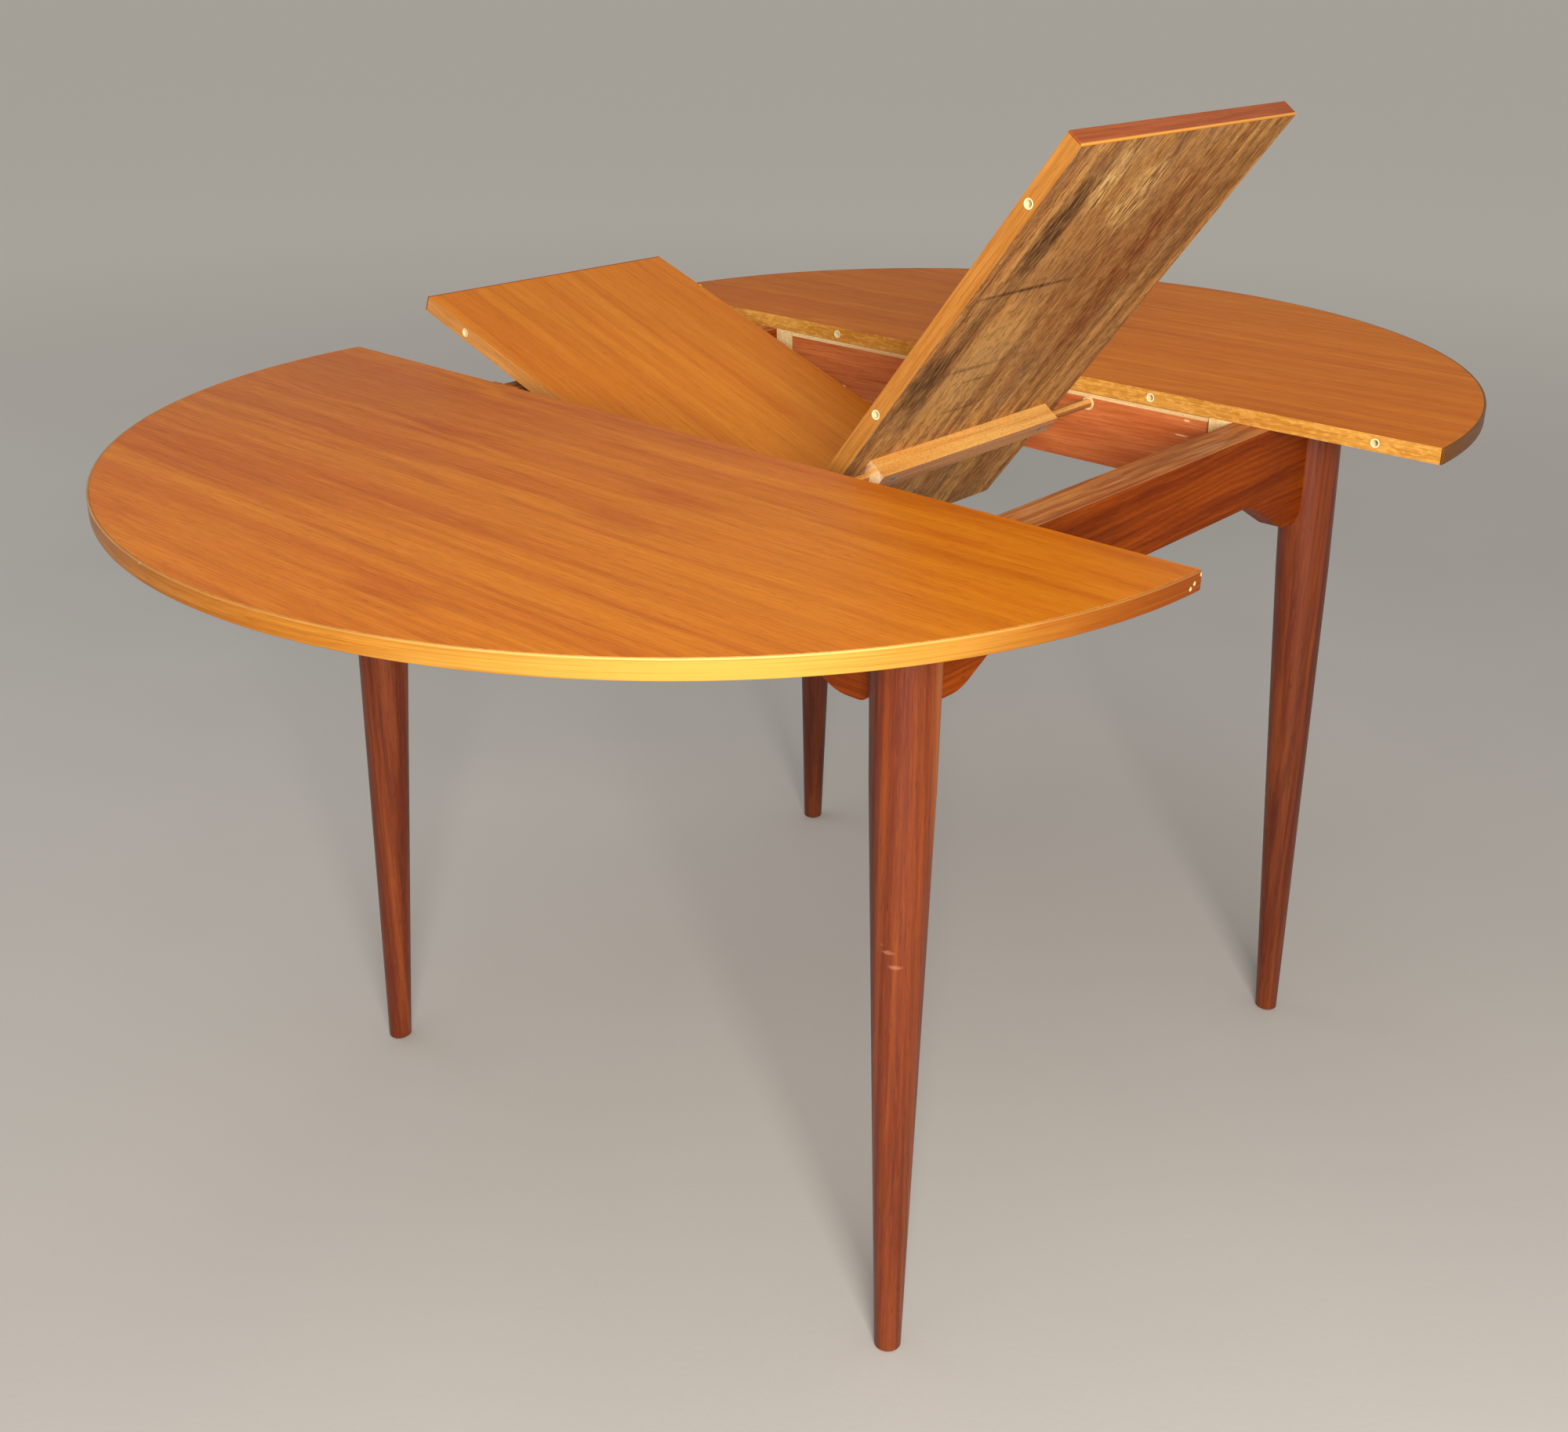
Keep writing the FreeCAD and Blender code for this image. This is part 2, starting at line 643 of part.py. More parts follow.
def batten_screws(name, way, grow):
    """The screws that hold a guide batten to its side rail."""
    z = f"{FRAME_TOP} - batten_screw_drop"
    outer = f"({BATTEN_REACH} - batten_screw_inset)"
    inner = f"({BATTEN_REACH} - batten_screw_inset - batten_screw_pitch)"
    return [screw(f"{name}_{index}", "screw_head", "screw_shank", "screw_head_depth", "batten_screw_length",
                  (f"{way} * {BATTEN_INNER}", y, z), RIGHT * way, grow)
            for index, y in enumerate((inner, outer, f"-{inner}", f"-{outer}"))]


def make_guide_batten(way, name):
    low = f"({TONGUE_TOP} - tongue_thickness - slide_gap)"
    high = f"({TONGUE_TOP} + slide_gap)"
    depth = f"({BATTEN_INNER} + tongue_reach)"
    outline = [(RAIL_INNER, BATTEN_BOTTOM), (RAIL_INNER, FRAME_TOP), (BATTEN_INNER, FRAME_TOP),
               (BATTEN_INNER, high), (depth, high), (depth, low), (BATTEN_INNER, low),
               (BATTEN_INNER, BATTEN_BOTTOM)]
    outline = [(f"{way} * {across}", up) for across, up in outline]
    body = prism(name + "_board", "XZ_Plane", outline, f"2 * {BATTEN_REACH}")
    holes = batten_screws(name + "_hole", way, "glue_gap")
    if way < 0:
        holes.append(leaf_relief(name + "_relief"))
    finished(cut(name + "_cut", body, holes), name)


# Leaf: every piece is drawn lying flat in use, then raised

def raise_right(thing):
    """Turn a flat piece of the right half up about the pivot bar."""
    thing.Placement.Rotation = FreeCAD.Rotation(AWAY, -SIZES["leaf_rise"])
    thing.setExpression("Placement.Rotation.Angle", formula("-leaf_rise"))
    thing.setExpression("Placement.Base.x", formula(
        f"pivot_offset - pivot_offset * cos(leaf_rise) + {PIVOT_HEIGHT} * sin(leaf_rise)"))
    thing.setExpression("Placement.Base.z", formula(
        f"{PIVOT_HEIGHT} - pivot_offset * sin(leaf_rise) - {PIVOT_HEIGHT} * cos(leaf_rise)"))
    return thing


def raise_left(thing):
    """Turn a flat piece of the left half with the fold, and carry it along with the right half."""
    lever = "(pivot_drop + fold_lift)"
    tip = "(leaf_fold - leaf_rise)"
    thing.Placement.Rotation = FreeCAD.Rotation(AWAY, SIZES["leaf_fold"] - SIZES["leaf_rise"])
    thing.setExpression("Placement.Rotation.Angle", formula(tip))
    thing.setExpression("Placement.Base.x", formula(
        f"pivot_offset - pivot_offset * cos(leaf_rise) - {lever} * sin(leaf_rise) - {FOLD_HEIGHT} * sin({tip})"))
    thing.setExpression("Placement.Base.z", formula(
        f"{PIVOT_HEIGHT} - pivot_offset * sin(leaf_rise) + {lever} * cos(leaf_rise)"
        f" - {FOLD_HEIGHT} * cos({tip})"))
    return thing


def hinge_spans(way):
    """The knuckles of one hinge plate: the right plate has three, the left one two."""
    share = "(hinge_length / 5)"
    return [(f"{index} * {share}", f"{index + 1} * {share}") for index in ((0, 2, 4) if way > 0 else (1, 3))]


def hinge_start(place_sign):
    """Where a hinge begins along the fold."""
    return f"({place_sign} * hinge_place - hinge_length / 2)"


def hinge_screw(name, way, place_sign, index, grow):
    """A screw of a hinge plate, or with grow its hole."""
    y = f"{place_sign} * hinge_place + {index - 1} * hinge_screw_pitch"
    z = f"{FOLD_HEIGHT} - knuckle_radius - fold_gap - hinge_height / 2"
    return screw(name, "hinge_screw_head", "hinge_screw_shank", "hinge_plate", "hinge_screw_length",
                 (f"{way} * fold_gap", y, z), RIGHT * way, grow)


def make_hinge_plate(name, way, place_sign):
    """One plate of a butt hinge with its own knuckles."""
    start = hinge_start(place_sign)
    across = sorted_pair(way, "fold_gap", "fold_gap + hinge_plate")
    neck = f"{FOLD_HEIGHT} - knuckle_radius - fold_gap"
    leaf = block(name + "_leaf", across, (start, f"{start} + hinge_length"), (f"{neck} - hinge_height", neck))
    parts = [leaf]
    bores = []
    for index, (low, high) in enumerate(hinge_spans(way)):
        low = f"{start} + {low} + pin_gap"
        high = f"{start} + {high} - pin_gap"
        parts.append(block(f"{name}_neck_{index}", across, (low, high), (neck, f"{FOLD_HEIGHT} - hinge_pin_radius")))
        parts.append(rod(f"{name}_knuckle_{index}", "knuckle_radius", f"({high}) - ({low})",
                         ("0", low, FOLD_HEIGHT), AWAY))
    bores.append(rod(name + "_pin_bore", "hinge_pin_radius + pin_gap", "hinge_length + 2 * overrun",
                     ("0", f"{start} - overrun", FOLD_HEIGHT), AWAY))
    for index in range(3):
        bores.append(hinge_screw(f"{name}_hole_{index}", way, place_sign, index, "pin_gap"))
    return cut(name, join(name + "_whole", parts), bores)


def make_leaf_board(way, name, raised):
    """One half of the leaf: its board, end banding, pegs, sockets, hinge plates and screws."""
    across = sorted_pair(way, "fold_gap", f"{HALF_LEAF} - leaf_lipping")
    along = ("-leaf_width / 2", "leaf_width / 2")
    up = (UNDERSIDE, "table_height")
    board = block(name + "_slab", across, along, up)
    tools = []
    pegs = []
    bushes = []
    for index, reach in enumerate((INNER_PEG, OUTER_PEG)):
        x = f"{way} * {reach}"
        tools.append(rod(f"{name}_peg_hole_{index}", "peg_diameter / 2 + glue_gap",
                         "peg_depth + glue_gap + overrun",
                         (x, "leaf_width / 2 + overrun", MID_BOARD), -AWAY))
        tools.append(rod(f"{name}_bush_hole_{index}", "bush_diameter / 2 + glue_gap",
                         "bush_depth + glue_gap + overrun",
                         (x, "-leaf_width / 2 - overrun", MID_BOARD), AWAY))
        pegs.append(peg(f"{name}_peg_{index}", x, "leaf_width / 2", MID_BOARD, 1))
        bushes.append(bush(f"{name}_bush_{index}", x, "-leaf_width / 2", MID_BOARD))
    plates = []
    screws = []
    neck = f"{FOLD_HEIGHT} - knuckle_radius - fold_gap"
    for place_sign in (-1, 1):
        start = hinge_start(place_sign)
        span = (f"{start} - glue_gap", f"{start} + hinge_length + glue_gap")
        bed = block(f"{name}_hinge_bed_{place_sign + 1}",
                    sorted_pair(way, "-overrun", "fold_gap + hinge_plate + glue_gap"), span,
                    (f"{neck} - hinge_height - glue_gap", "table_height + overrun"))
        trough = block(f"{name}_knuckle_bed_{place_sign + 1}",
                       sorted_pair(way, "-overrun", "knuckle_radius + slide_gap"), span,
                       (f"{FOLD_HEIGHT} - knuckle_radius - slide_gap", "table_height + overrun"))
        holes = [hinge_screw(f"{name}_hinge_hole_{place_sign + 1}_{index}", way, place_sign, index, "glue_gap")
                 for index in range(3)]
        tools.append(join(f"{name}_hinge_cut_{place_sign + 1}", [bed, trough] + holes))
        plates.append(make_hinge_plate(f"{name}_plate_{place_sign + 1}", way, place_sign))
        screws += [hinge_screw(f"{name}_hinge_screw_{place_sign + 1}_{index}", way, place_sign, index, "0")
                   for index in range(3)]
    if way > 0:
        tools += [bar_screw(f"{name}_bar_hole_{sign + 1}", sign, "glue_gap") for sign in (-1, 1)]
    finished(raised(cut(name + "_cut", board, tools)), name)
    lipping = block(name + "_banding", sorted_pair(way, f"{HALF_LEAF} - leaf_lipping", HALF_LEAF), along, up)
    half = name.replace("_board", "")
    finished(raised(group(half + "_banding_group", [lipping])), half + "_lipping")
    finished(raised(group(half + "_peg_group", pegs)), half + "_pegs")
    finished(raised(group(half + "_bush_group", bushes)), half + "_sockets")
    finished(raised(group(half + "_plate_group", plates)), half + "_hinge_plates")
    finished(raised(group(half + "_screw_group", screws)), half + "_hinge_screws")


def make_hinge_pins():
    pins = [rod(f"hinge_pin_{sign + 1}", "hinge_pin_radius", "hinge_length",
                ("0", hinge_start(sign), FOLD_HEIGHT), AWAY) for sign in (-1, 1)]
    finished(raise_right(group("hinge_pin_group", pins)), "hinge_pins")


def bar_screw(name, sign, grow):
    """A screw up through the pivot bar, or with grow its hole."""
    bottom = f"({PIVOT_HEIGHT} - (pivot_drop - board_thickness))"
    return screw(name, "screw_head", "screw_shank", "screw_head_depth", "bar_screw_length",
                 ("pivot_offset", f"{sign} * bar_screw_place", bottom), UP, grow)


def make_pivot_bar():
    half = "(pivot_drop - board_thickness)"
    bar = block("bar_square", (f"pivot_offset - {half}", f"pivot_offset + {half}"),
                ("-bar_length / 2", "bar_length / 2"), (f"{PIVOT_HEIGHT} - {half}", f"{PIVOT_HEIGHT} + {half}"))
    pins = rod("bar_ends", "bar_pin_diameter / 2", "2 * (cross_face + bar_pin_depth)",
               ("pivot_offset", "-(cross_face + bar_pin_depth)", PIVOT_HEIGHT), AWAY)
    shoulders = [taper(f"bar_shoulder_{side + 1}", half, "bar_pin_diameter / 2", "bar_shoulder",
                       ("pivot_offset", f"{side} * bar_length / 2", PIVOT_HEIGHT), AWAY * side)
                 for side in (-1, 1)]
    holes = [bar_screw(f"bar_hole_{sign + 1}", sign, "glue_gap") for sign in (-1, 1)]
    finished(raise_right(cut("bar_cut", join("bar_whole", [bar, pins] + shoulders), holes)), "pivot_bar")
    screws = [bar_screw(f"bar_screw_{sign + 1}", sign, "0") for sign in (-1, 1)]
    finished(raise_right(group("bar_screw_group", screws)), "pivot_bar_screws")
    washers = [ring(f"washer_{side + 1}", "washer_diameter / 2", "bar_pin_diameter / 2 + pin_gap",
                    "washer_thickness", ("pivot_offset", f"{side} * (cross_face - washer_thickness)", PIVOT_HEIGHT),
                    AWAY * side) for side in (-1, 1)]
    finished(group("washer_group", washers), "pivot_washers")


# The whole table

make_half_top(-1, "near_top", "peg_diameter / 2 + glue_gap", "peg_depth + glue_gap")
make_half_top(1, "far_top", "bush_diameter / 2 + glue_gap", "bush_depth + glue_gap")
make_runners(-1, "near")
make_runners(1, "far")
top_places = [f"{way} * {reach}" for way in (-1, 1) for reach in (OUTER_PEG, INNER_PEG)]
finished(group("near_peg_group", [peg(f"near_peg_{index}", x, f"-{SPLIT}", MID_BOARD, 1)
                                  for index, x in enumerate(top_places)]), "near_pegs")
finished(group("far_bush_group", [bush(f"far_bush_{index}", x, SPLIT, MID_BOARD)
                                  for index, x in enumerate(top_places)]), "far_sockets")
for way, way_name in ((-1, "left"), (1, "right")):
    make_side_rail(way, way_name + "_side_rail")
    make_guide_batten(way, way_name + "_guide_batten")
    for side, side_name in ((-1, "near"), (1, "far")):
        make_leg(way, side, f"{side_name}_{way_name}_leg")
for side, side_name in ((-1, "near"), (1, "far")):
    make_end_rail(side, side_name + "_end_rail")
    make_cross_rail(side, side_name + "_cross_rail")
make_corner_dowels()
finished(group("cross_dowel_group", cross_dowels("cross_dowel_left", -1, "0")
               + cross_dowels("cross_dowel_right", 1, "0")), "cross_rail_dowels")
finished(group("batten_screw_group", batten_screws("batten_screw_left", -1, "0")
               + batten_screws("batten_screw_right", 1, "0")), "batten_screws")
make_leaf_board(1, "leaf_right_board", raise_right)
make_leaf_board(-1, "leaf_left_board", raise_left)
make_hinge_pins()
make_pivot_bar()

# Checks, then the files

document.recompute()
failed = [thing.Name for thing in document.Objects if "Invalid" in thing.State or "Error" in thing.State]
if failed:
    raise RuntimeError(f"these objects failed: {failed}")
os.makedirs("parts", exist_ok=True)
for thing in sub_parts:
    if thing.Shape.isNull() or not thing.Shape.isValid() or not thing.Shape.Solids:
        raise RuntimeError(f"{thing.Label} has no valid shape")
for thing in sub_parts:
    thing.Shape.exportStep(f"parts/{thing.Label}.step")
    box = thing.Shape.BoundBox
    print(f"{thing.Label}: {len(thing.Shape.Solids)} solids, {thing.Shape.Volume / 1000:.1f} cm3, "
          f"x {box.XMin:.1f} {box.XMax:.1f}  y {box.YMin:.1f} {box.YMax:.1f}  z {box.ZMin:.1f} {box.ZMax:.1f}")
print(len(sub_parts), "sub-parts")
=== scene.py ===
# %% [markdown]
# # A round teak table caught with its leaf half unfolded
# The table is a joiner's piece: two veneered half tops on beech runners, four turned legs,
# arched rails, and a leaf in two hinged halves that turns up on a pivot bar. The sizes and the
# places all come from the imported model, so nothing is fitted here. This lesson only gives every
# piece its eased edges and its finish.

# %% Load the table
import json
import math
import bmesh
import bpy
from mathutils import Matrix, Vector

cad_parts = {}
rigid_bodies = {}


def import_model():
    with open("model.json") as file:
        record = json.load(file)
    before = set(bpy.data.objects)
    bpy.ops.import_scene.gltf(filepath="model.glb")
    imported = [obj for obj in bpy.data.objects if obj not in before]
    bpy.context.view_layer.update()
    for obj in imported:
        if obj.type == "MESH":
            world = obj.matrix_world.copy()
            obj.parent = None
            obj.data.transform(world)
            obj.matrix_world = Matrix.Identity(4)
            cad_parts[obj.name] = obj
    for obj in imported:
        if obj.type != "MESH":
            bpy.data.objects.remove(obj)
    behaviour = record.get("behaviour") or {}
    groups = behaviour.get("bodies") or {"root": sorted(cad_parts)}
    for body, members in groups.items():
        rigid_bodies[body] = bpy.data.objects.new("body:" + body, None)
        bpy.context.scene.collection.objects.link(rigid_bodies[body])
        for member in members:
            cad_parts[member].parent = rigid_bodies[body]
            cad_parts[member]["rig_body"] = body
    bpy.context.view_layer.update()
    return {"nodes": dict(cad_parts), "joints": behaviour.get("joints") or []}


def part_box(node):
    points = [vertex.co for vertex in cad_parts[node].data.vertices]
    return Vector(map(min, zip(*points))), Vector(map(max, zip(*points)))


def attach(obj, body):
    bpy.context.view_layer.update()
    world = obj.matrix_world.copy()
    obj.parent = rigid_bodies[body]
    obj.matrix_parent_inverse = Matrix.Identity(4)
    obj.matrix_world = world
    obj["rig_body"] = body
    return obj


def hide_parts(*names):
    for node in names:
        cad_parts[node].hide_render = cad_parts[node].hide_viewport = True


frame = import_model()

MM = 0.001

# %% [markdown]
# ## The photographer's place
# A camera is matched by its place, its three turns, its focal length and the point of the picture
# that its lens faces. The round rim and the four feet fix all of these, so they are written as
# measured. The lens faces a point a little right of the picture's middle, which the shift gives.

# %% Set up the camera
PHOTO_WIDTH = 2000
PHOTO_HEIGHT = 1827
FACED_PIXEL = (1068.2, 861.95)
FOCAL_PIXELS = 2229.5
SENSOR_WIDTH = 36
CAMERA_PLACE = Vector((1086.3, -1309.5, 1174.2)) * MM
AZIMUTH = math.radians(40.07)
ELEVATION = math.radians(23.51)
ROLL = math.radians(0.98)

camera_data = bpy.data.cameras.new("photographer")
camera_data.sensor_width = SENSOR_WIDTH
camera_data.lens = SENSOR_WIDTH * FOCAL_PIXELS / PHOTO_WIDTH
camera_data.shift_x = (PHOTO_WIDTH / 2 - FACED_PIXEL[0]) / PHOTO_WIDTH
camera_data.shift_y = (FACED_PIXEL[1] - PHOTO_HEIGHT / 2) / PHOTO_WIDTH
camera = bpy.data.objects.new("photographer", camera_data)
turned = (Matrix.Rotation(AZIMUTH, 4, "Z") @ Matrix.Rotation(math.pi / 2 - ELEVATION, 4, "X")
          @ Matrix.Rotation(ROLL, 4, "Z"))
camera.matrix_world = Matrix.Translation(CAMERA_PLACE) @ turned
bpy.context.scene.collection.objects.link(camera)
bpy.context.scene.camera = camera
bpy.context.scene.view_settings.view_transform = "Standard"
print(f"lens {camera_data.lens:.1f} mm")

# %% [markdown]
# ## Colours and nodes
# Colours are picked as sRGB codes, as on a screen, but a shader wants linear light, so one function
# turns them. Every material is a small tree of nodes. One helper adds a node, sets its options, and
# fills or links its inputs, which keeps each finish below readable as a recipe.

# %% Helpers for colours and nodes
def colour(code):
    """Turn an sRGB hex code into the linear colour that a shader takes."""
    channels = [int(code[start:start + 2], 16) / 255 for start in (0, 2, 4)]
    return [c / 12.92 if c <= 0.04045 else ((c + 0.055) / 1.055) ** 2.4 for c in channels] + [1]


def node(finish, kind, options=None, inputs=None):
    """Add a node to a finish, set its options, and fill its inputs with values or links."""
    made = finish.node_tree.nodes.new(kind)
    for option, setting in (options or {}).items():
        setattr(made, option, setting)
    for socket, given in (inputs or {}).items():
        if isinstance(given, bpy.types.NodeSocket):
            finish.node_tree.links.new(given, made.inputs[socket])
        else:
            made.inputs[socket].default_value = given
    return made


def start_finish(name):
    """An empty finish whose surface is one shader, ready for its recipe."""
    finish = bpy.data.materials.new(name)
    finish.use_nodes = True
    return finish


def coat_surface(finish, inputs):
    """Fill or link the inputs of the surface shader."""
    surface = finish.node_tree.nodes["Principled BSDF"]
    for socket, given in inputs.items():
        if isinstance(given, bpy.types.NodeSocket):
            finish.node_tree.links.new(given, surface.inputs[socket])
        else:
            surface.inputs[socket].default_value = given

# %% [markdown]
# ## Floor and light
# The floor is plain and pale, and so wide that no edge shows. Its colour is painted paler with
# distance, as painted light that stands in for a backdrop with a lamp of its own. The light is soft:
# one large lamp beside the camera and no higher than it must be, because the brightest face of the
# real table is its upright rim, then a lamp overhead, one from the left and a dim sky that fill the
# shadows. Big lamps are chosen over small ones because a satin finish then shows broad soft sheens
# and no hard spots.

# %% Lay the floor
FLOOR_HALF = 60.0
FLOOR_TONES = ("B2B0AE", "BDBBB9", "E2DFD8")
PALES_FROM = 1.6
PALES_TO = 6.0
CLOUDS_PER_METRE = 1.6
GRIT_PER_METRE = 160.0

floor_finish = start_finish("pale_floor_paint")
floor_dark, floor_light, floor_pale_painted_light = (colour(code) for code in FLOOR_TONES)
floor_place = node(floor_finish, "ShaderNodeTexCoord").outputs["Object"]
floor_cloud = node(floor_finish, "ShaderNodeTexNoise", None,
                   {"Vector": floor_place, "Scale": CLOUDS_PER_METRE, "Detail": 4.0}).outputs["Fac"]
near_tone = node(floor_finish, "ShaderNodeMix", {"data_type": "RGBA"},
                 {"Factor": floor_cloud, 6: floor_dark, 7: floor_light}).outputs[2]
floor_away = node(floor_finish, "ShaderNodeVectorMath", {"operation": "LENGTH"},
                  {0: floor_place}).outputs["Value"]
# Painted light: the floor's colour turns paler with distance from the middle.
floor_far_painted_light = node(floor_finish, "ShaderNodeMapRange", {"interpolation_type": "SMOOTHSTEP"},
                 {"Value": floor_away, "From Min": PALES_FROM, "From Max": PALES_TO}).outputs["Result"]
floor_tone = node(floor_finish, "ShaderNodeMix", {"data_type": "RGBA"},
                  {"Factor": floor_far_painted_light, 6: near_tone, 7: floor_pale_painted_light}).outputs[2]
floor_grit = node(floor_finish, "ShaderNodeTexNoise", None,
                  {"Vector": floor_place, "Scale": GRIT_PER_METRE, "Detail": 2.0}).outputs["Fac"]
floor_bump = node(floor_finish, "ShaderNodeBump", None,
                  {"Height": floor_grit, "Distance": 0.3 * MM, "Strength": 0.5}).outputs["Normal"]
coat_surface(floor_finish, {"Base Color": floor_tone, "Roughness": 0.75, "Normal": floor_bump,
                            "Specular IOR Level": 0.3})
floor_shape = bmesh.new()
bmesh.ops.create_grid(floor_shape, x_segments=1, y_segments=1, size=FLOOR_HALF)
floor_mesh = bpy.data.meshes.new("studio_floor")
floor_shape.to_mesh(floor_mesh)
floor_shape.free()
floor_mesh.materials.append(floor_finish)
studio_floor = bpy.data.objects.new("studio_floor", floor_mesh)
bpy.context.scene.collection.objects.link(studio_floor)
print("floor", 2 * FLOOR_HALF, "m wide")

# %% Hang the lamps
LAMPS = {
    # name: place in metres, side in metres, watts, colour
    "key_lamp": ((1.85, -1.8, 1.35), 0.9, 88.0, "FFF7EA"),
    "overhead_lamp": ((-0.3, -0.5, 3.3), 2.8, 14.0, "FFFDF8"),
    "side_lamp": ((-3.0, -0.8, 1.8), 2.0, 8.0, "F4F6FF"),
}
AIM = Vector((0.0, -0.2, 0.6))
SKY_TONE = "E8E4DE"
SKY_STRENGTH = 0.6

for lamp_name, (lamp_place, lamp_side, watts, lamp_code) in LAMPS.items():
    lamp_data = bpy.data.lights.new(lamp_name, "AREA")
    lamp_data.size = lamp_side
    lamp_data.energy = watts
    lamp_data.color = colour(lamp_code)[:3]
    lamp = bpy.data.objects.new(lamp_name, lamp_data)
    lamp.location = lamp_place
    lamp.rotation_euler = (AIM - lamp.location).to_track_quat("-Z", "Y").to_euler()
    bpy.context.scene.collection.objects.link(lamp)
    print(lamp_name, watts, "W")
studio_sky = bpy.data.worlds.new("studio_sky")
studio_sky.use_nodes = True
sky_light = studio_sky.node_tree.nodes["Background"]
sky_light.inputs["Color"].default_value = colour(SKY_TONE)
sky_light.inputs["Strength"].default_value = SKY_STRENGTH
bpy.context.scene.world = studio_sky

# %% [markdown]
# ## What makes wood look like wood
# Wood is a bundle of tubes that grew in rings. On a board this shows three ways: soft bands where
# the saw cut the rings at a slant, long streaks of darker and lighter fibres, and short dark dashes
# where it opened the pores. Each pattern is one noise drawn out along the fibres, and each gets its
# real width and length in millimetres. They all start from a place on the board whose X runs along
# the fibres: the object's own coordinates, with a Mapping node that turns them, so the grain stays
# on the piece when the piece moves.

# %% Patterns that follow the fibres
SWAY_LONG = 260
SWAY_WIDE = 45
WAVE_PITCH = math.pi / 10    # the distance between two rings of the wave texture at a scale of 1


def lie_along(finish, turn=(0, 0, 0), middle=(0, 0, 0)):
    """Places on a piece in millimetres, turned so that X runs along its fibres."""
    place = node(finish, "ShaderNodeTexCoord").outputs["Object"]
    return node(finish, "ShaderNodeMapping", {"vector_type": "TEXTURE"},
                {"Vector": place, "Location": [at * MM for at in middle], "Rotation": turn,
                 "Scale": (MM, MM, MM)}).outputs["Vector"]


def streaks(finish, fibres, wide, long, detail=2.0, shifted=0.0, low=0.35, high=0.65):
    """Streaks of a real width and length, from 0 to 1 between a low and a high level."""
    drawn_out = node(finish, "ShaderNodeVectorMath", {"operation": "MULTIPLY_ADD"},
                     {0: fibres, 1: (1 / long, 1 / wide, 1 / wide), 2: (shifted, shifted, shifted)})
    cloud = node(finish, "ShaderNodeTexNoise", None,
                 {"Vector": drawn_out.outputs[0], "Scale": 1.0, "Detail": detail, "Roughness": 0.55})
    return node(finish, "ShaderNodeMapRange", {"interpolation_type": "SMOOTHSTEP"},
                {"Value": cloud.outputs["Fac"], "From Min": low, "From Max": high}).outputs["Result"]


def growth_rings(finish, fibres, spacing, depth, tilt, wander):
    """The bands of a board cut at a slant through a tree whose middle lies below its face."""
    leaning = node(finish, "ShaderNodeMapping", None,
                   {"Vector": fibres, "Location": (0, 0, depth), "Rotation": (0, math.radians(tilt), 0)})
    bend = node(finish, "ShaderNodeVectorMath", {"operation": "MULTIPLY"},
                {0: fibres, 1: (1 / SWAY_LONG, 1 / SWAY_WIDE, 1 / SWAY_WIDE)})
    sway = node(finish, "ShaderNodeTexNoise", None,
                {"Vector": bend.outputs[0], "Scale": 1.0, "Detail": 2.0}).outputs["Color"]
    swayed = node(finish, "ShaderNodeVectorMath", {"operation": "MULTIPLY_ADD"},
                  {0: sway, 1: (0, wander, wander), 2: leaning.outputs["Vector"]})
    return node(finish, "ShaderNodeTexWave", {"wave_type": "RINGS", "rings_direction": "X"},
                {"Vector": swayed.outputs[0], "Scale": WAVE_PITCH / spacing}).outputs["Fac"]

# %% [markdown]
# ## Where a finish differs
# A used table isn't the same all over. A stain, a scuff or a chip is a patch about one place with a
# ragged edge, and a worn arris is a band at one height. Both give a number from 0 to 1, and one
# function lays a colour over another by such a number. Painting by hand would need a picture of the
# surface, but a few numbers in millimetres put each mark where the real one is. A list of such
# marks is laid in one go, each with its middle, its reach, its colour and its strength.

# %% Patches, bands and layers
def patch(finish, fibres, middle, reach, ragged=0.6, soft=0.7):
    """A ragged patch about a middle: 1 inside it and 0 past its reach along each axis."""
    offset = node(finish, "ShaderNodeVectorMath", {"operation": "SUBTRACT"}, {0: fibres, 1: middle})
    sized = node(finish, "ShaderNodeVectorMath", {"operation": "DIVIDE"},
                 {0: offset.outputs[0], 1: reach})
    torn = node(finish, "ShaderNodeTexNoise", None,
                {"Vector": sized.outputs[0], "Scale": 2.2, "Detail": 4.0})
    moved = node(finish, "ShaderNodeVectorMath", {"operation": "MULTIPLY_ADD"},
                 {0: torn.outputs["Color"], 1: (ragged, ragged, ragged), 2: sized.outputs[0]})
    away = node(finish, "ShaderNodeVectorMath", {"operation": "DISTANCE"},
                {0: moved.outputs[0], 1: (ragged / 2, ragged / 2, ragged / 2)})
    return node(finish, "ShaderNodeMapRange", {"interpolation_type": "SMOOTHSTEP"},
                {"Value": away.outputs["Value"], "From Min": 1 - soft, "From Max": 1.0,
                 "To Min": 1.0, "To Max": 0.0}).outputs["Result"]


def rising(finish, fibres, axis, start, end):
    """From 0 to 1 between two places along one axis, in millimetres."""
    parted = node(finish, "ShaderNodeSeparateXYZ", None, {"Vector": fibres})
    return node(finish, "ShaderNodeMapRange", {"interpolation_type": "SMOOTHSTEP"},
                {"Value": parted.outputs[axis], "From Min": start, "From Max": end}).outputs["Result"]


def lay_over(finish, under, over, where, strength):
    """Lay a colour over another where a pattern is strong."""
    amount = node(finish, "ShaderNodeMath", {"operation": "MULTIPLY"}, {0: where, 1: strength}).outputs[0]
    return node(finish, "ShaderNodeMix", {"data_type": "RGBA"},
                {"Factor": amount, 6: under, 7: over}).outputs[2]


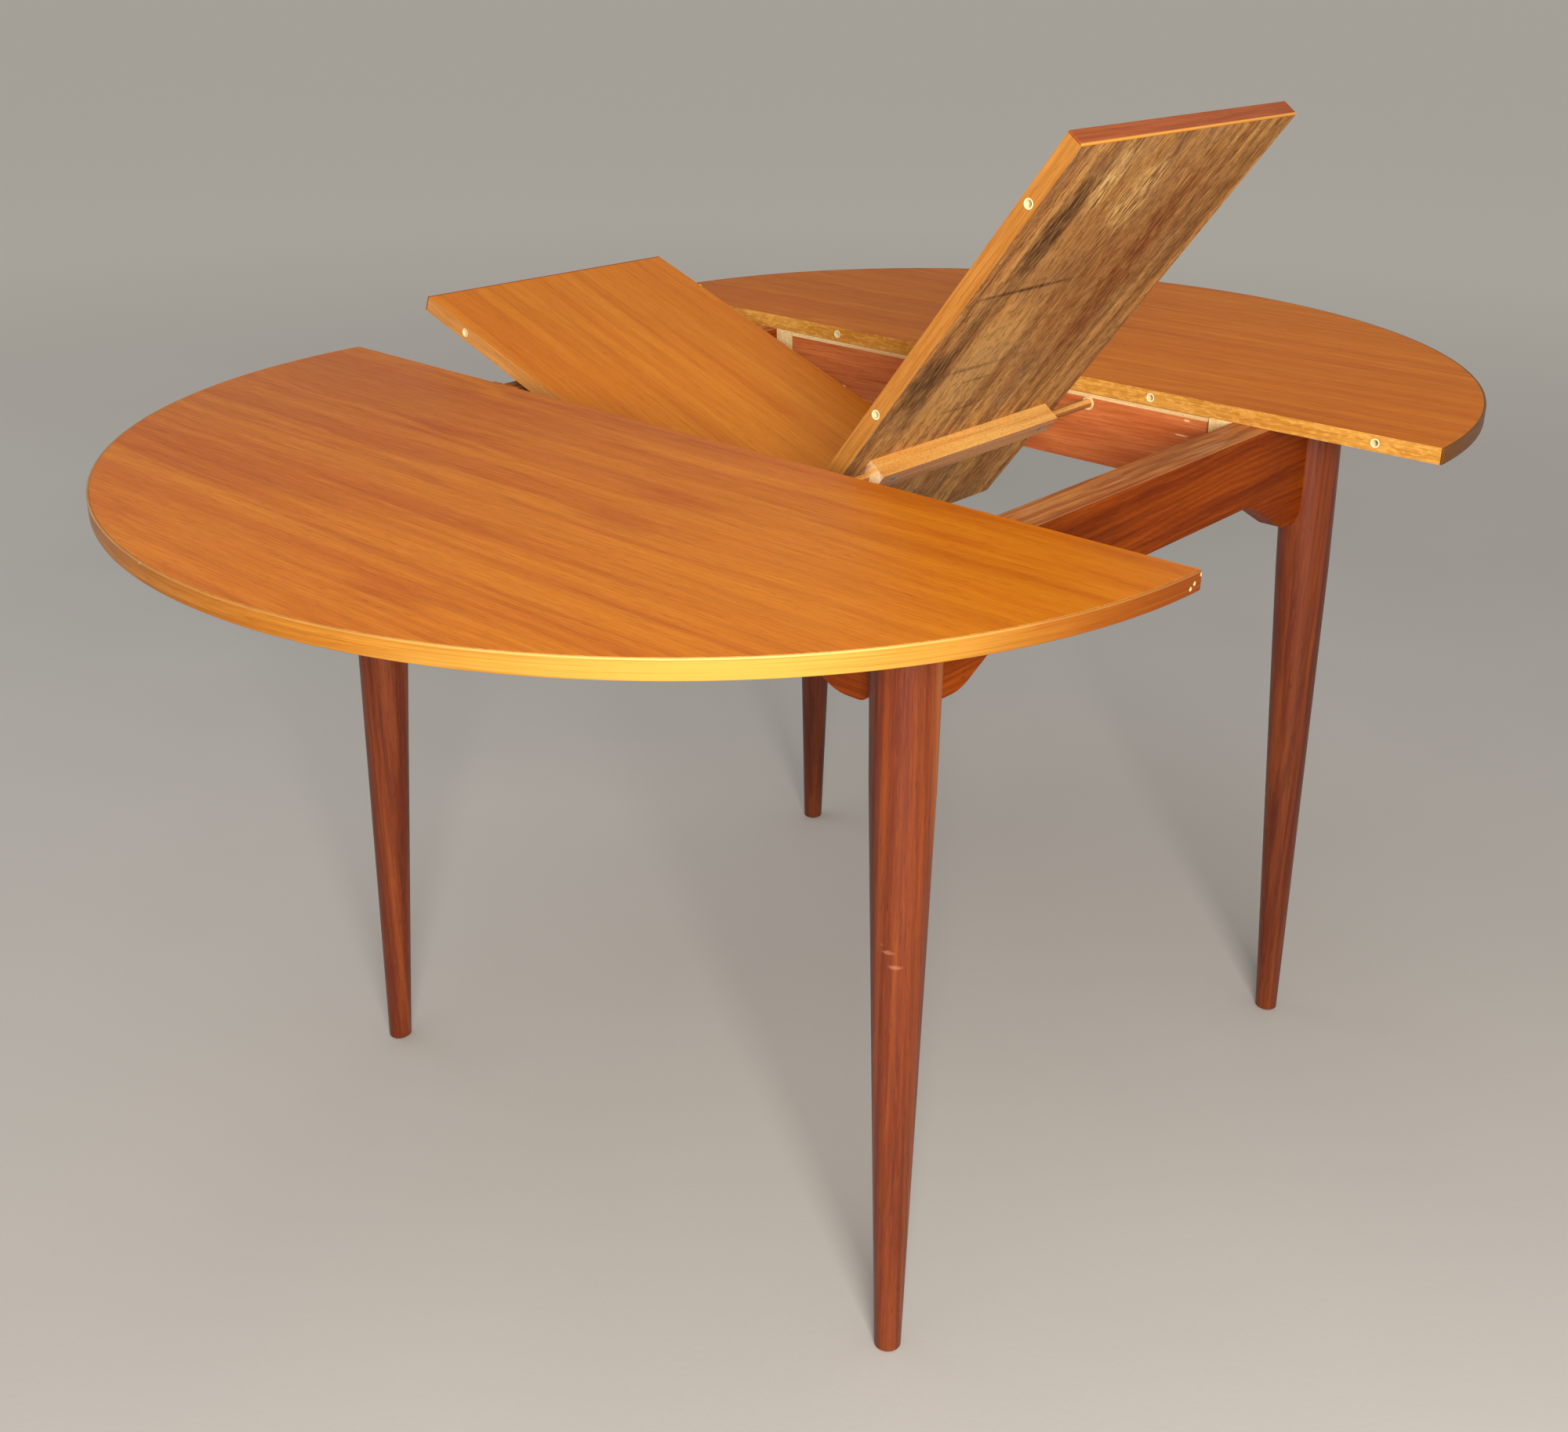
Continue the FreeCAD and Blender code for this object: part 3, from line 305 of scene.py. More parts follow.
def lay_marks(finish, tone, place, marks, ragged=0.6, soft=0.7):
    """Lay a list of marks over a colour. Each is a middle, a reach, a colour and a strength."""
    for middle, reach, code, strength in marks:
        where = patch(finish, place, middle, reach, ragged, soft)
        tone = lay_over(finish, tone, colour(code), where, strength)
    return tone

# %% [markdown]
# ## Teak
# Teak is a golden brown wood with fine open pores that stay visible under a satin oil or lacquer.
# Sliced into veneer it shows a quiet striped figure, and solid it darkens towards red. One recipe
# gives both: a middle tone, broad streaks of a light tone and of a red one, rings, thin pale veins,
# then fibres and pores. What tells two teak pieces apart is only how strong each layer is, so these
# are the arguments. Real pores are about 0.2 mm wide, too fine for the picture, so they are 0.8 mm
# here. A pore, a fibre, a line and a broad streak are each given as a width and a length in
# millimetres.

# %% Teak
PORE = (0.8, 14)
FIBRE = (1.2, 55)
PALE_FIBRE = (1.8, 38)
DARK_LINE = (5, 330)
RED_WIDTH = 0.6
# a cut: how far down the tree's middle lies, the tilt in degrees, how far the rings wander
RING_CUT = (60.0, 2.0, 26.0)
VEIN_CUT = (90.0, 1.0, 30.0)
VEIN_SPACING = 36
VEIN_EDGE = 0.93


def teak(name, tones, fibres_of, ring=9.0, figure=0.1, lines=0.12, broad=(34, 600), light_share=0.7,
         red_share=0.45, pore_share=0.4, roughness=(0.38, 0.48), gloss=0.12, coat=0.0, ground=None,
         marks=None):
    """A teak finish. Its tones are a dark, a red, a middle and a light one."""
    finish = start_finish(name)
    dark, red, mid, light = (colour(code) for code in tones)
    fibres = fibres_of(finish)
    fine = streaks(finish, fibres, *FIBRE, shifted=3.1)
    pores = streaks(finish, fibres, *PORE, detail=1.0, shifted=11.7, low=0.58, high=0.74)
    tone = lay_over(finish, mid, light, streaks(finish, fibres, *broad, low=0.36, high=0.66), light_share)
    if ground:
        tone = ground(finish, tone)
    reds = streaks(finish, fibres, broad[0] * RED_WIDTH, broad[1], shifted=5.9, low=0.42, high=0.7)
    tone = lay_over(finish, tone, red, reds, red_share)
    tone = lay_over(finish, tone, dark, growth_rings(finish, fibres, ring, *RING_CUT), figure)
    dark_lines = streaks(finish, fibres, *DARK_LINE, shifted=7.3, low=0.5, high=0.75)
    tone = lay_over(finish, tone, dark, dark_lines, lines)
    vein = node(finish, "ShaderNodeMapRange", {"interpolation_type": "SMOOTHSTEP"},
                {"Value": growth_rings(finish, fibres, VEIN_SPACING, *VEIN_CUT), "From Min": VEIN_EDGE})
    tone = lay_over(finish, tone, light, vein.outputs["Result"], 0.3)
    pale_fibres = streaks(finish, fibres, *PALE_FIBRE, shifted=1.7, low=0.5, high=0.7)
    tone = lay_over(finish, tone, light, pale_fibres, 0.25)
    tone = lay_over(finish, tone, dark, fine, 0.17)
    tone = lay_over(finish, tone, dark, pores, pore_share)
    if marks:
        tone = marks(finish, tone)
    rough = node(finish, "ShaderNodeMapRange", None,
                 {"Value": fine, "To Min": roughness[0], "To Max": roughness[1]}).outputs["Result"]
    relief = node(finish, "ShaderNodeMath", {"operation": "SUBTRACT"}, {0: fine, 1: pores}).outputs[0]
    bump = node(finish, "ShaderNodeBump", None,
                {"Height": relief, "Distance": 0.04 * MM, "Strength": 0.6}).outputs["Normal"]
    coat_surface(finish, {"Base Color": tone, "Roughness": rough, "Normal": bump, "Coat Weight": coat,
                          "Coat Roughness": 0.25, "Specular IOR Level": gloss})
    print(name, "mixed from", tones)
    return finish

# %% [markdown]
# ## Where the raised leaf came from
# The leaf's two halves are drawn turned up, but their grain was laid when they were flat. Turning
# the pattern by the same angles about the same pins puts it back, and both pins are in the frame.
# A mark is then placed in the flat table's own millimetres.

# %% The leaf's turns
LEAF_RISE = math.radians(53)
LEAF_FOLD = math.radians(73)
PIVOT_FLAT = Vector((137, 0, 714))
FOLD_FLAT = Vector((0, 0, 740.2))
pins = {joint["name"]: Vector(joint["pos_m"]) for joint in frame["joints"] if "pos_m" in joint}
right_up = Matrix.Rotation(-LEAF_RISE, 4, "Y") @ Vector((0, 0, 1))
right_out = Matrix.Rotation(-LEAF_RISE, 4, "Y") @ Vector((1, 0, 0))
left_up = Matrix.Rotation(LEAF_FOLD - LEAF_RISE, 4, "Y") @ Vector((0, 0, 1))


def flat_on_table(finish):
    """Places on a piece that lies as it was made, with its fibres along X."""
    return lie_along(finish)


def flat_on_leaf(pin, turn, pin_flat):
    """Places on a raised half, given as they are when the leaf lies flat."""
    def fibres_of(finish):
        turned_back = lie_along(finish, (0, turn, 0), pins[pin] / MM)
        return node(finish, "ShaderNodeVectorMath", {"operation": "ADD"},
                    {0: turned_back, 1: pin_flat}).outputs[0]
    return fibres_of


on_right_half = flat_on_leaf("leaf_pivot", -LEAF_RISE, PIVOT_FLAT)
on_left_half = flat_on_leaf("leaf_fold", LEAF_FOLD - LEAF_RISE, FOLD_FLAT)
print("pivot", pins["leaf_pivot"][:], "fold", pins["leaf_fold"][:])

# %% [markdown]
# ## Veneer on the tops and the leaf
# The faces are sliced teak veneer, all laid with the fibres along the split. Its stripes are low in
# contrast, because the slices were cut nearly square to the rings, and the finish is an oiled satin
# that has ambered. The near top has four reddish clouds where the oil took more. Its front right is
# painted more golden, as painted light, and both tops are painted browner at their left, as painted
# shade. The leaf spent its life in the dark, so it is a little lighter and plainer.

# %% Mix the veneers
NEAR_TONES = ("803202", "AE4E0A", "C86A10", "DC8418")
FAR_TONES = ("8A3C02", "B6560A", "CC6E0E", "DA8012")
LEAF_TONES = ("8E4008", "B85C12", "CC761A", "D88824")
# Painted light and shade: a golden wash on the near top's front right, and browner washes on the left of
# both tops.
NEAR_PAINTED_LIGHT_AND_SHADE = (((420, -480, 740), (620, 420, 60), "D48012", 0.6),
               ((-420, -300, 740), (560, 340, 60), "B05C1A", 0.5))
FAR_PAINTED_SHADE = (((-420, 330, 740), (700, 420, 60), "B05C10", 0.6),)
CLOUD_MIDDLES = ((120, -363, 740), (120, -430, 740), (120, -647, 740), (-193, -363, 740))
CLOUDS = tuple((middle, (82, 27, 30), "A23806", 0.42) for middle in CLOUD_MIDDLES)


def near_painted_light_shade_and_clouds(finish, tone):
    """Painted light on the golden front right, painted shade on the browner left, and the red clouds of
    the near top.
    """
    place = lie_along(finish)
    tone = lay_marks(finish, tone, place, NEAR_PAINTED_LIGHT_AND_SHADE, soft=1.0)
    return lay_marks(finish, tone, place, CLOUDS, ragged=1.3, soft=1.0)


def far_left_painted_shade(finish, tone):
    """Painted shade on the browner left of the far top."""
    return lay_marks(finish, tone, lie_along(finish), FAR_PAINTED_SHADE, soft=1.0)


near_veneer = teak("near_teak_veneer", NEAR_TONES, flat_on_table, ground=near_painted_light_shade_and_clouds)
far_veneer = teak("far_teak_veneer", FAR_TONES, flat_on_table, gloss=0.04, ground=far_left_painted_shade)
right_veneer = teak("right_leaf_teak_veneer", LEAF_TONES, on_right_half)
left_veneer = teak("left_leaf_teak_veneer", LEAF_TONES, on_left_half, ring=34.0, figure=0.15, lines=0.2)

# %% [markdown]
# ## Banding on the rim and the edges
# The rim is a thin strip of solid teak bent round each half. Its fibres follow the bend, so its
# pattern is measured along the rim: the angle about the half's middle, times the radius. The straight
# edges that meet the leaf are paler, open grained and blotched, as planed solid teak is where it
# was sealed only once. The front of the near rim is painted pale gold, as a painted highlight, and its
# right end dark orange-brown, as painted shade, and the far rim is mixed from darker tones, as
# painted shade. The top arris is paler all round and brightest at the front, partly wear and partly
# painted highlight, and the near right corner is chipped.

# %% Mix the bandings
RIM_RADIUS = 515
OPEN_HALF = 218 * MM
BAND_TONES = ("7A4008", "925012", "A8641C", "C07E2C")
# The far rim is mixed from darker tones than the near one, as painted shade.
FAR_BAND_SHADED_TONES = ("4A2604", "5A3006", "6E3E0A", "805016")
RIM_LIT_FRONT = (-404, 0, 732)
RIM_SHADED_END = (-20, 0, 732)
RIM_REACH = (340, 60, 60)
ARRIS_WORN_AND_LIT_FROM = 738.3
ARRIS_WORN_AND_LIT_TO = 739.7
RIM_LINE = (1.4, 150)
CHIP_MIDDLES = ((515, -219, 737), (514, -233, 729), (514, -228, 732), (88, -732, 739), (-60, -731, 739.5))
CHIPS = tuple((middle, (2.5, 2.5, 2.5), "F6DCA4", 0.9) for middle in CHIP_MIDDLES)
BLOTCH = (3, 8)


def along_rim(side):
    """Places on a bent strip in millimetres, with X along the bend."""
    def fibres_of(finish):
        place = lie_along(finish, middle=(0, side * OPEN_HALF / MM, 0))
        parted = node(finish, "ShaderNodeSeparateXYZ", None, {"Vector": place})
        bearing = node(finish, "ShaderNodeMath", {"operation": "ARCTAN2"},
                       {0: parted.outputs["Y"], 1: parted.outputs["X"]})
        gone = node(finish, "ShaderNodeMath", {"operation": "MULTIPLY"},
                    {0: bearing.outputs[0], 1: RIM_RADIUS})
        return node(finish, "ShaderNodeCombineXYZ", None,
                    {"X": gone.outputs[0], "Z": parted.outputs["Z"]}).outputs["Vector"]
    return fibres_of


def rim_painted_light_shade_and_chips(finish, tone):
    """Painted shade on the right end and a painted highlight on the front of the near rim, its top arris,
    partly worn and partly painted highlight, and its chips.
    """
    place = lie_along(finish)
    bent = along_rim(-1)(finish)
    # A painted highlight on the front of the near rim and painted shade on its right end.
    front = patch(finish, bent, RIM_LIT_FRONT, RIM_REACH, soft=1.0)
    shaded_end = patch(finish, bent, RIM_SHADED_END, RIM_REACH, soft=1.0)
    # The top arris is paler all round, partly wear and partly painted highlight, and brightest at the
    # front.
    arris = rising(finish, place, "Z", ARRIS_WORN_AND_LIT_FROM, ARRIS_WORN_AND_LIT_TO)
    worn_and_lit_arris = node(finish, "ShaderNodeMath", {"operation": "MULTIPLY"}, {0: arris, 1: front}).outputs[0]
    rim_lines = streaks(finish, bent, *RIM_LINE, shifted=3.3, low=0.5, high=0.66)
    tone = lay_over(finish, tone, colour("7C3400"), shaded_end, 0.93)
    tone = lay_over(finish, tone, colour("CCA248"), front, 0.75)
    tone = lay_over(finish, tone, colour("8E5A14"), rim_lines, 0.4)
    tone = lay_over(finish, tone, colour("E8BC70"), arris, 0.15)
    tone = lay_over(finish, tone, colour("F0CC80"), worn_and_lit_arris, 0.5)
    return lay_marks(finish, tone, place, CHIPS, ragged=1.2)


def edge_marks(finish, tone):
    """Blotches a few millimetres wide, which show the open grain of a planed edge."""
    blotches = streaks(finish, lie_along(finish), *BLOTCH, detail=3.0, low=0.45, high=0.65)
    return lay_over(finish, tone, colour("F0BC62"), blotches, 0.35)


RIM_LOOK = {"broad": (3.5, 260), "lines": 0.4, "gloss": 0.16, "roughness": (0.3, 0.4)}
near_banding = teak("near_rim_teak", BAND_TONES, along_rim(-1), marks=rim_painted_light_shade_and_chips, **RIM_LOOK)
# Painted shade: the far rim uses the darker tones.
far_banding_shaded = teak("far_rim_teak_painted_shade", FAR_BAND_SHADED_TONES, along_rim(1), **RIM_LOOK)
EDGE_TONES = ("92581E", "AA6624", "C28734", "D69E4A")
RIGHT_EDGE_TONES = ("824A1C", "965620", "AC722E", "C28A44")
LEFT_EDGE_TONES = ("905824", "B27034", "CE8E4A", "E4A85E")
top_edge = teak("planed_teak_edge", EDGE_TONES, flat_on_table, broad=(4, 60), marks=edge_marks)
right_edge = teak("right_leaf_edge", RIGHT_EDGE_TONES, on_right_half, broad=(4, 90), lines=0.3)
left_edge = teak("left_leaf_edge", LEFT_EDGE_TONES, on_left_half, broad=(4, 90))

# %% Mix the leaf's end bandings
END_TONES = ("6A2C12", "84381A", "96481F", "AC5E30")
BARE_FROM = 726.2
BARE_TO = 724.8


def lower_arris(finish, tone):
    """Bare golden wood along the lower arris of the leaf's end."""
    bare = rising(finish, on_right_half(finish), "Z", BARE_FROM, BARE_TO)
    return lay_over(finish, tone, colour("E09A40"), bare, 1.0)


def across_leaf(fibres_of):
    """The same places with X and Y exchanged, for a strip that crosses the leaf."""
    def exchanged(finish):
        parted = node(finish, "ShaderNodeSeparateXYZ", None, {"Vector": fibres_of(finish)}).outputs
        return node(finish, "ShaderNodeCombineXYZ", None,
                    {"X": parted["Y"], "Y": parted["X"], "Z": parted["Z"]}).outputs["Vector"]
    return exchanged


right_end = teak("right_leaf_end", END_TONES, across_leaf(on_right_half), broad=(5, 120),
                 marks=lower_arris)
left_end = teak("left_leaf_end", END_TONES, across_leaf(on_left_half), broad=(5, 120))

# %% [markdown]
# ## The bare undersides
# Nobody sees the underside, so it was faced with a cheap rough-sawn veneer and left bare. It soaked
# up dirt in streaks, and where the saw tore the fibres they stand up and catch the light. The raised
# half is nearly black in places near one edge, red-brown bands run down its middle, and a few thin
# dark lines cross it, where something wet was laid on it. Bare wood is matt, so its roughness is
# high, and its relief is more than ten times as deep as on the veneer.

# %% Mix the undersides
TORN_FIBRE = (2.2, 20)
FUZZ = (4, 8)
BARE_TONE = "8E5A2C"
DIRT = (
    # width and length in millimetres, shift, low and high level, colour, strength
    (18, 260, 0.0, 0.38, 0.6, "C48E4E", 0.9),
    (9, 220, 9.2, 0.5, 0.64, "5A3418", 0.6),
    (40, 60, 2.6, 0.46, 0.66, "907050", 0.4),
    (9, 16, 6.8, 0.5, 0.68, "6A4222", 0.5),
)


def rough_sawn(name, fibres_of, marks=None):
    """Bare rough-sawn veneer, mottled with dirt."""
    finish = start_finish(name)
    fibres = fibres_of(finish)
    torn = streaks(finish, fibres, *TORN_FIBRE, detail=5.0, low=0.42, high=0.62)
    fuzz = streaks(finish, fibres, *FUZZ, detail=5.0, shifted=4.4, low=0.48, high=0.66)
    tone = colour(BARE_TONE)
    for wide, long, shifted, low, high, code, strength in DIRT:
        tone = lay_over(finish, tone, colour(code),
                        streaks(finish, fibres, wide, long, 5.0, shifted, low, high), strength)
    if marks:
        tone = marks(finish, tone, fibres, torn)
    tone = lay_over(finish, tone, colour("E4AC66"), torn, 0.3)
    tone = lay_over(finish, tone, colour("4C2A12"), fuzz, 0.4)
    relief = node(finish, "ShaderNodeMath", {"operation": "ADD"}, {0: torn, 1: fuzz}).outputs[0]
    bump = node(finish, "ShaderNodeBump", None,
                {"Height": relief, "Distance": 0.5 * MM, "Strength": 0.8}).outputs["Normal"]
    coat_surface(finish, {"Base Color": tone, "Roughness": 0.85, "Normal": bump,
                          "Specular IOR Level": 0.2})
    print(name, "mixed")
    return finish


STAINS = (
    # middle and reach in millimetres, raggedness, colour, strength
    ((255, -70, 724), (100, 60, 20), 1.0, "C89A5C", 0.5),
    ((400, -10, 724), (140, 130, 20), 0.8, "703C1A", 0.5),
    ((345, 66, 724), (190, 36, 20), 0.5, "6E320C", 0.9),
    ((400, 140, 724), (160, 26, 20), 1.2, "5C3418", 0.6),
    ((300, 14, 724), (170, 14, 20), 0.5, "7C401A", 0.65),
    ((423, -114, 724), (92, 26, 20), 1.1, "361808", 0.92),
    ((250, -142, 724), (60, 28, 20), 1.3, "3A1C0A", 0.9),
    ((275, -128, 724), (130, 26, 20), 1.3, "4A2A12", 0.6),
    ((350, -84, 724), (3.2, 104, 20), 0.3, "3E1E0A", 0.9),
    ((252, -74, 724), (4, 60, 20), 0.4, "5A3C24", 0.6),
    ((190, -45, 724), (3, 36, 20), 0.9, "4A2A12", 0.6),
    ((232, -50, 724), (2.6, 44, 20), 0.9, "4A2A12", 0.5),
)
TORN_PLACES = (((475, -84, 724), (60, 22, 20)), ((447, -20, 724), (60, 40, 20)))


def leaf_stains(finish, tone, fibres, torn):
    """The stains of the raised half, each at its measured place."""
    for middle, reach, ragged, code, strength in STAINS:
        tone = lay_marks(finish, tone, fibres, [(middle, reach, code, strength)], ragged)
    for middle, reach in TORN_PLACES:
        bright = patch(finish, fibres, middle, reach, 0.9)
        lifted = node(finish, "ShaderNodeMath", {"operation": "MULTIPLY"},
                      {0: bright, 1: torn}).outputs[0]
        tone = lay_over(finish, tone, colour("F0C880"), lifted, 0.8)
    return tone


leaf_underside = rough_sawn("right_leaf_underside", on_right_half, leaf_stains)
left_underside = rough_sawn("left_leaf_underside", on_left_half)
top_underside = rough_sawn("top_underside", flat_on_table)

# %% [markdown]
# ## Solid teak in the legs and rails
# The legs and rails are solid teak, stained dark, and oiled to a soft sheen. Fibres run along each
# piece: up the legs, and along the rails. The legs have orange stripes where the stain took less,
# and a thin coat gives the pinkish sheen of wax. The near right leg has a painted highlight down its
# right side and painted shade down its left, and the far legs are painted darker, as painted shade.
# The rails' upper edges were never finished, and a life of sliding tops has ground dust into them
# and paled their arris.

# %% Mix the solid teak
LEG_TONES = ("301105", "4E1B08", "6A280F", "98491B")
RAIL_TONES = ("3E1602", "602204", "7E3004", "9C4608")
UPRIGHT = (0, math.pi / 2, 0)
ALONG_Y = (0, 0, math.pi / 2)
# Painted light and shade: a highlight down the right side of the near right leg, shade down its left
# side, and shade over the far left and, weaker, the far right leg.
LEG_PAINTED_LIGHT_AND_SHADE = (((362, -326, 610), (13, 13, 240), "B4601C", 0.6),
               ((322, -366, 400), (15, 15, 520), "200C06", 0.6),
               ((-345, 345, 300), (60, 60, 520), "260C04", 0.5),
               ((345, 345, 300), (60, 60, 520), "260C04", 0.22))
SCUFFS = tuple((middle, (8, 8, 2.6), "C98A62", 0.35)
               for middle in ((350, -368, 412), (356, -364, 399), (343, -372, 418)))
GLUE_LINE = (((342, 316.5, 662), (4, 2.2, 46), "D8A678", 0.6),)
RED_STREAK = (5, 160)
DUST_STREAK = (7, 70)
PALED_ARRIS = (-339.0, -342.0)


def leg_painted_light_shade_and_scuffs(finish, tone):
    """A painted highlight and painted shade on the near right leg, its pale scuffs, and painted shade on
    the far legs.
    """
    place = lie_along(finish)
    tone = lay_marks(finish, tone, place, LEG_PAINTED_LIGHT_AND_SHADE)
    return lay_marks(finish, tone, place, SCUFFS, ragged=1.4)


def up_leg(finish):
    """Places on a leg, with its fibres upright."""
    return lie_along(finish, UPRIGHT)


def along_depth(finish):
    """Places on a piece whose fibres run along Y."""
    return lie_along(finish, ALONG_Y)


def rubbed_edge(finish, tone):
    """Red streaks, dust and a pale outer arris on the upper edge of a side rail."""
    place = along_depth(finish)
    red_streaks = streaks(finish, place, *RED_STREAK, detail=4.0, shifted=6.1, low=0.45, high=0.6)
    dust = streaks(finish, place, *DUST_STREAK, detail=4.0, shifted=8.8, low=0.55, high=0.7)
    tone = lay_over(finish, tone, colour("8E4C2A"), red_streaks, 0.7)
    tone = lay_over(finish, tone, colour("C89C74"), dust, 0.4)
    return lay_over(finish, tone, colour("D0A880"), rising(finish, place, "Y", *PALED_ARRIS), 0.25)


def glued_end(finish, tone):
    """A pale line of old glue and worn wood down the far end of the right rail."""
    return lay_marks(finish, tone, lie_along(finish), GLUE_LINE, ragged=0.5)


leg_teak = teak("leg_teak", LEG_TONES, up_leg, ring=7.0, figure=0.08, lines=0.12, broad=(11, 900),
                light_share=0.6, red_share=0.5, roughness=(0.34, 0.46), gloss=0.3, coat=0.05,
                marks=leg_painted_light_shade_and_scuffs)
side_rail_teak = teak("side_rail_teak", RAIL_TONES, along_depth, ring=6.0, figure=0.3, lines=0.3,
                      broad=(18, 300), pore_share=0.45, gloss=0.05, marks=glued_end)
end_rail_teak = teak("end_rail_teak", RAIL_TONES, flat_on_table, ring=6.0, figure=0.35, lines=0.4,
                     broad=(18, 300), pore_share=0.45)
dusty_teak = teak("dusty_teak", ("80401A", "A45426", "C0743C", "D69858"), along_depth, broad=(8, 90),
                  roughness=(0.7, 0.85), marks=rubbed_edge)

# %% [markdown]
# ## Mahogany, beech and the stained bar
# The cross rails are mahogany: redder than teak, even and fine in grain. The parts that slide are
# beech, a cream wood whose only figure is a shower of short brown flecks, waxed where it runs. The
# pivot bar is beech too, stained on every side and worn bare at its ends. Its face that looks up and
# out is painted a lighter orange than the rest, as painted light.

# %% Mix the mahogany
RAIL_SCRATCH = (((248, 216, 701), (11, 4, 1.2), "F0C8A0", 0.7),)
RAIL_CHIP = (((253, 216, 717), (5, 4, 1.6), "F0C8A0", 0.8),)


def rail_marks(finish, tone):
    """A pale scratch and a chip on the far cross rail."""
    place = lie_along(finish)
    tone = lay_marks(finish, tone, place, RAIL_SCRATCH, ragged=1.6)
    return lay_marks(finish, tone, place, RAIL_CHIP, ragged=1.4)


MAHOGANY_TONES = ("80381C", "A34E28", "BC6434", "D6824C")
mahogany = teak("mahogany", MAHOGANY_TONES, flat_on_table, ring=4.0, figure=0.2, lines=0.2,
                broad=(12, 150), marks=rail_marks)

# %% Mix the beech
BEECH_BAND = (10, 220)
BEECH_LINE = (3, 150)
FLECK = (0.9, 2.6)
BEECH_TONES = ("D8B47E", "EBD3A2", "B98A58")


def beech(name, tones, fibres_of, roughness=0.5):
    """Beech: a cream tone with soft bands and short brown flecks."""
    finish = start_finish(name)
    mid, light, fleck = (colour(code) for code in tones)
    fibres = fibres_of(finish)
    bands = streaks(finish, fibres, *BEECH_BAND)
    thin_lines = streaks(finish, fibres, *BEECH_LINE, shifted=6.6, low=0.5, high=0.7)
    flecks = streaks(finish, fibres, *FLECK, detail=0.0, shifted=2.2, low=0.6, high=0.68)
    tone = lay_over(finish, mid, light, bands, 0.8)
    tone = lay_over(finish, tone, fleck, thin_lines, 0.3)
    tone = lay_over(finish, tone, fleck, flecks, 0.5)
    bump = node(finish, "ShaderNodeBump", None,
                {"Height": bands, "Distance": 0.03 * MM, "Strength": 0.5}).outputs["Normal"]
    coat_surface(finish, {"Base Color": tone, "Roughness": roughness, "Normal": bump,
                          "Specular IOR Level": 0.35})
    print(name, "mixed from", tones)
    return finish


runner_beech = beech("waxed_beech", BEECH_TONES, along_depth)
strip_beech = beech("strip_beech", BEECH_TONES, flat_on_table)
# Painted light: a lighter copy for the bar's face that looks up and out.
bar_lit_face = beech("bar_painted_light_orange", ("DA9A4A", "ECBC6A", "B06C2E"), along_depth, 0.42)
bar_stained = beech("bar_stained_brown", ("A0663A", "BC8450", "744424"), along_depth, 0.5)
bar_bare = beech("bar_worn_bare", ("D8B284", "F0D8AC", "B07C4C"), along_depth, 0.6)

# %% [markdown]
# ## Nylon, brass and zinc
# The sockets are moulded nylon. It lets a little light in and gives it back, so their bores look
# pale, and its colour is a little uneven from the mould. The leaf's hinges are brass, gone brown in
# patches. The screws are steel with a zinc coat, dull and faintly mottled. A metal's colour is its
# reflection, so its roughness varies with the tarnish.

# %% Mix the nylon and the metals
NYLON_DEPTH = 3 * MM
MOTTLE = 2.5

nylon = start_finish("moulded_nylon")
nylon_cloud = streaks(nylon, lie_along(nylon), 4, 4, detail=3.0)
coat_surface(nylon, {
    "Base Color": lay_over(nylon, colour("F0DEA8"), colour("FAEEC4"), nylon_cloud, 1.0),
    "Roughness": node(nylon, "ShaderNodeMapRange", None,
                      {"Value": nylon_cloud, "To Min": 0.35, "To Max": 0.5}).outputs["Result"],
    "Subsurface Weight": 0.2, "Subsurface Radius": (1.0, 0.95, 0.8), "Subsurface Scale": NYLON_DEPTH})


def tarnished(name, clean, tarnish, roughness):
    """A metal with a mottled tarnish."""
    finish = start_finish(name)
    place = lie_along(finish)
    mottle = streaks(finish, place, MOTTLE, MOTTLE, detail=4.0, low=0.42, high=0.68)
    rough = node(finish, "ShaderNodeMapRange", None,
                 {"Value": mottle, "To Min": roughness[0], "To Max": roughness[1]}).outputs["Result"]
    bump = node(finish, "ShaderNodeBump", None,
                {"Height": mottle, "Distance": 0.02 * MM, "Strength": 0.5}).outputs["Normal"]
    coat_surface(finish, {"Base Color": lay_over(finish, colour(clean), colour(tarnish), mottle, 0.8),
                          "Metallic": 1.0, "Roughness": rough, "Normal": bump})
    print(name, "mixed")
    return finish


brass = tarnished("aged_brass", "B9964E", "6E5228", (0.28, 0.55))
zinc = tarnished("zinc_plated_steel", "B4B4AE", "84847C", (0.3, 0.5))

# %% [markdown]
# ## Easing the arrises
# No joiner leaves a sharp corner: sandpaper takes off between a tenth of a millimetre and a little
# over one, and that thin facet is what catches the light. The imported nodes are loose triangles, so a
# copy is merged into whole faces first, and a live Bevel modifier then eases every corner sharper
# than 35 degrees.
# Broad faces, over 20 square centimetres, are shaded flat: smoothed, they would look dished where a
# housing is cut into them. A copy keeps every hole and housing of the joiner's model, which a box
# modelled again would lose.

# %% A helper that makes a piece ride on its body
WELD = 0.01 * MM
FLAT = math.radians(0.5)
CORNER = math.radians(35)
BROAD_FACE = 0.002


def ease(piece, arris, segments=2):
    """Ease every corner of a piece by a width in millimetres."""
    bevel = piece.modifiers.new("eased_arrises", "BEVEL")
    bevel.width = arris * MM
    bevel.segments = segments
    bevel.limit_method = "ANGLE"
    bevel.angle_limit = CORNER


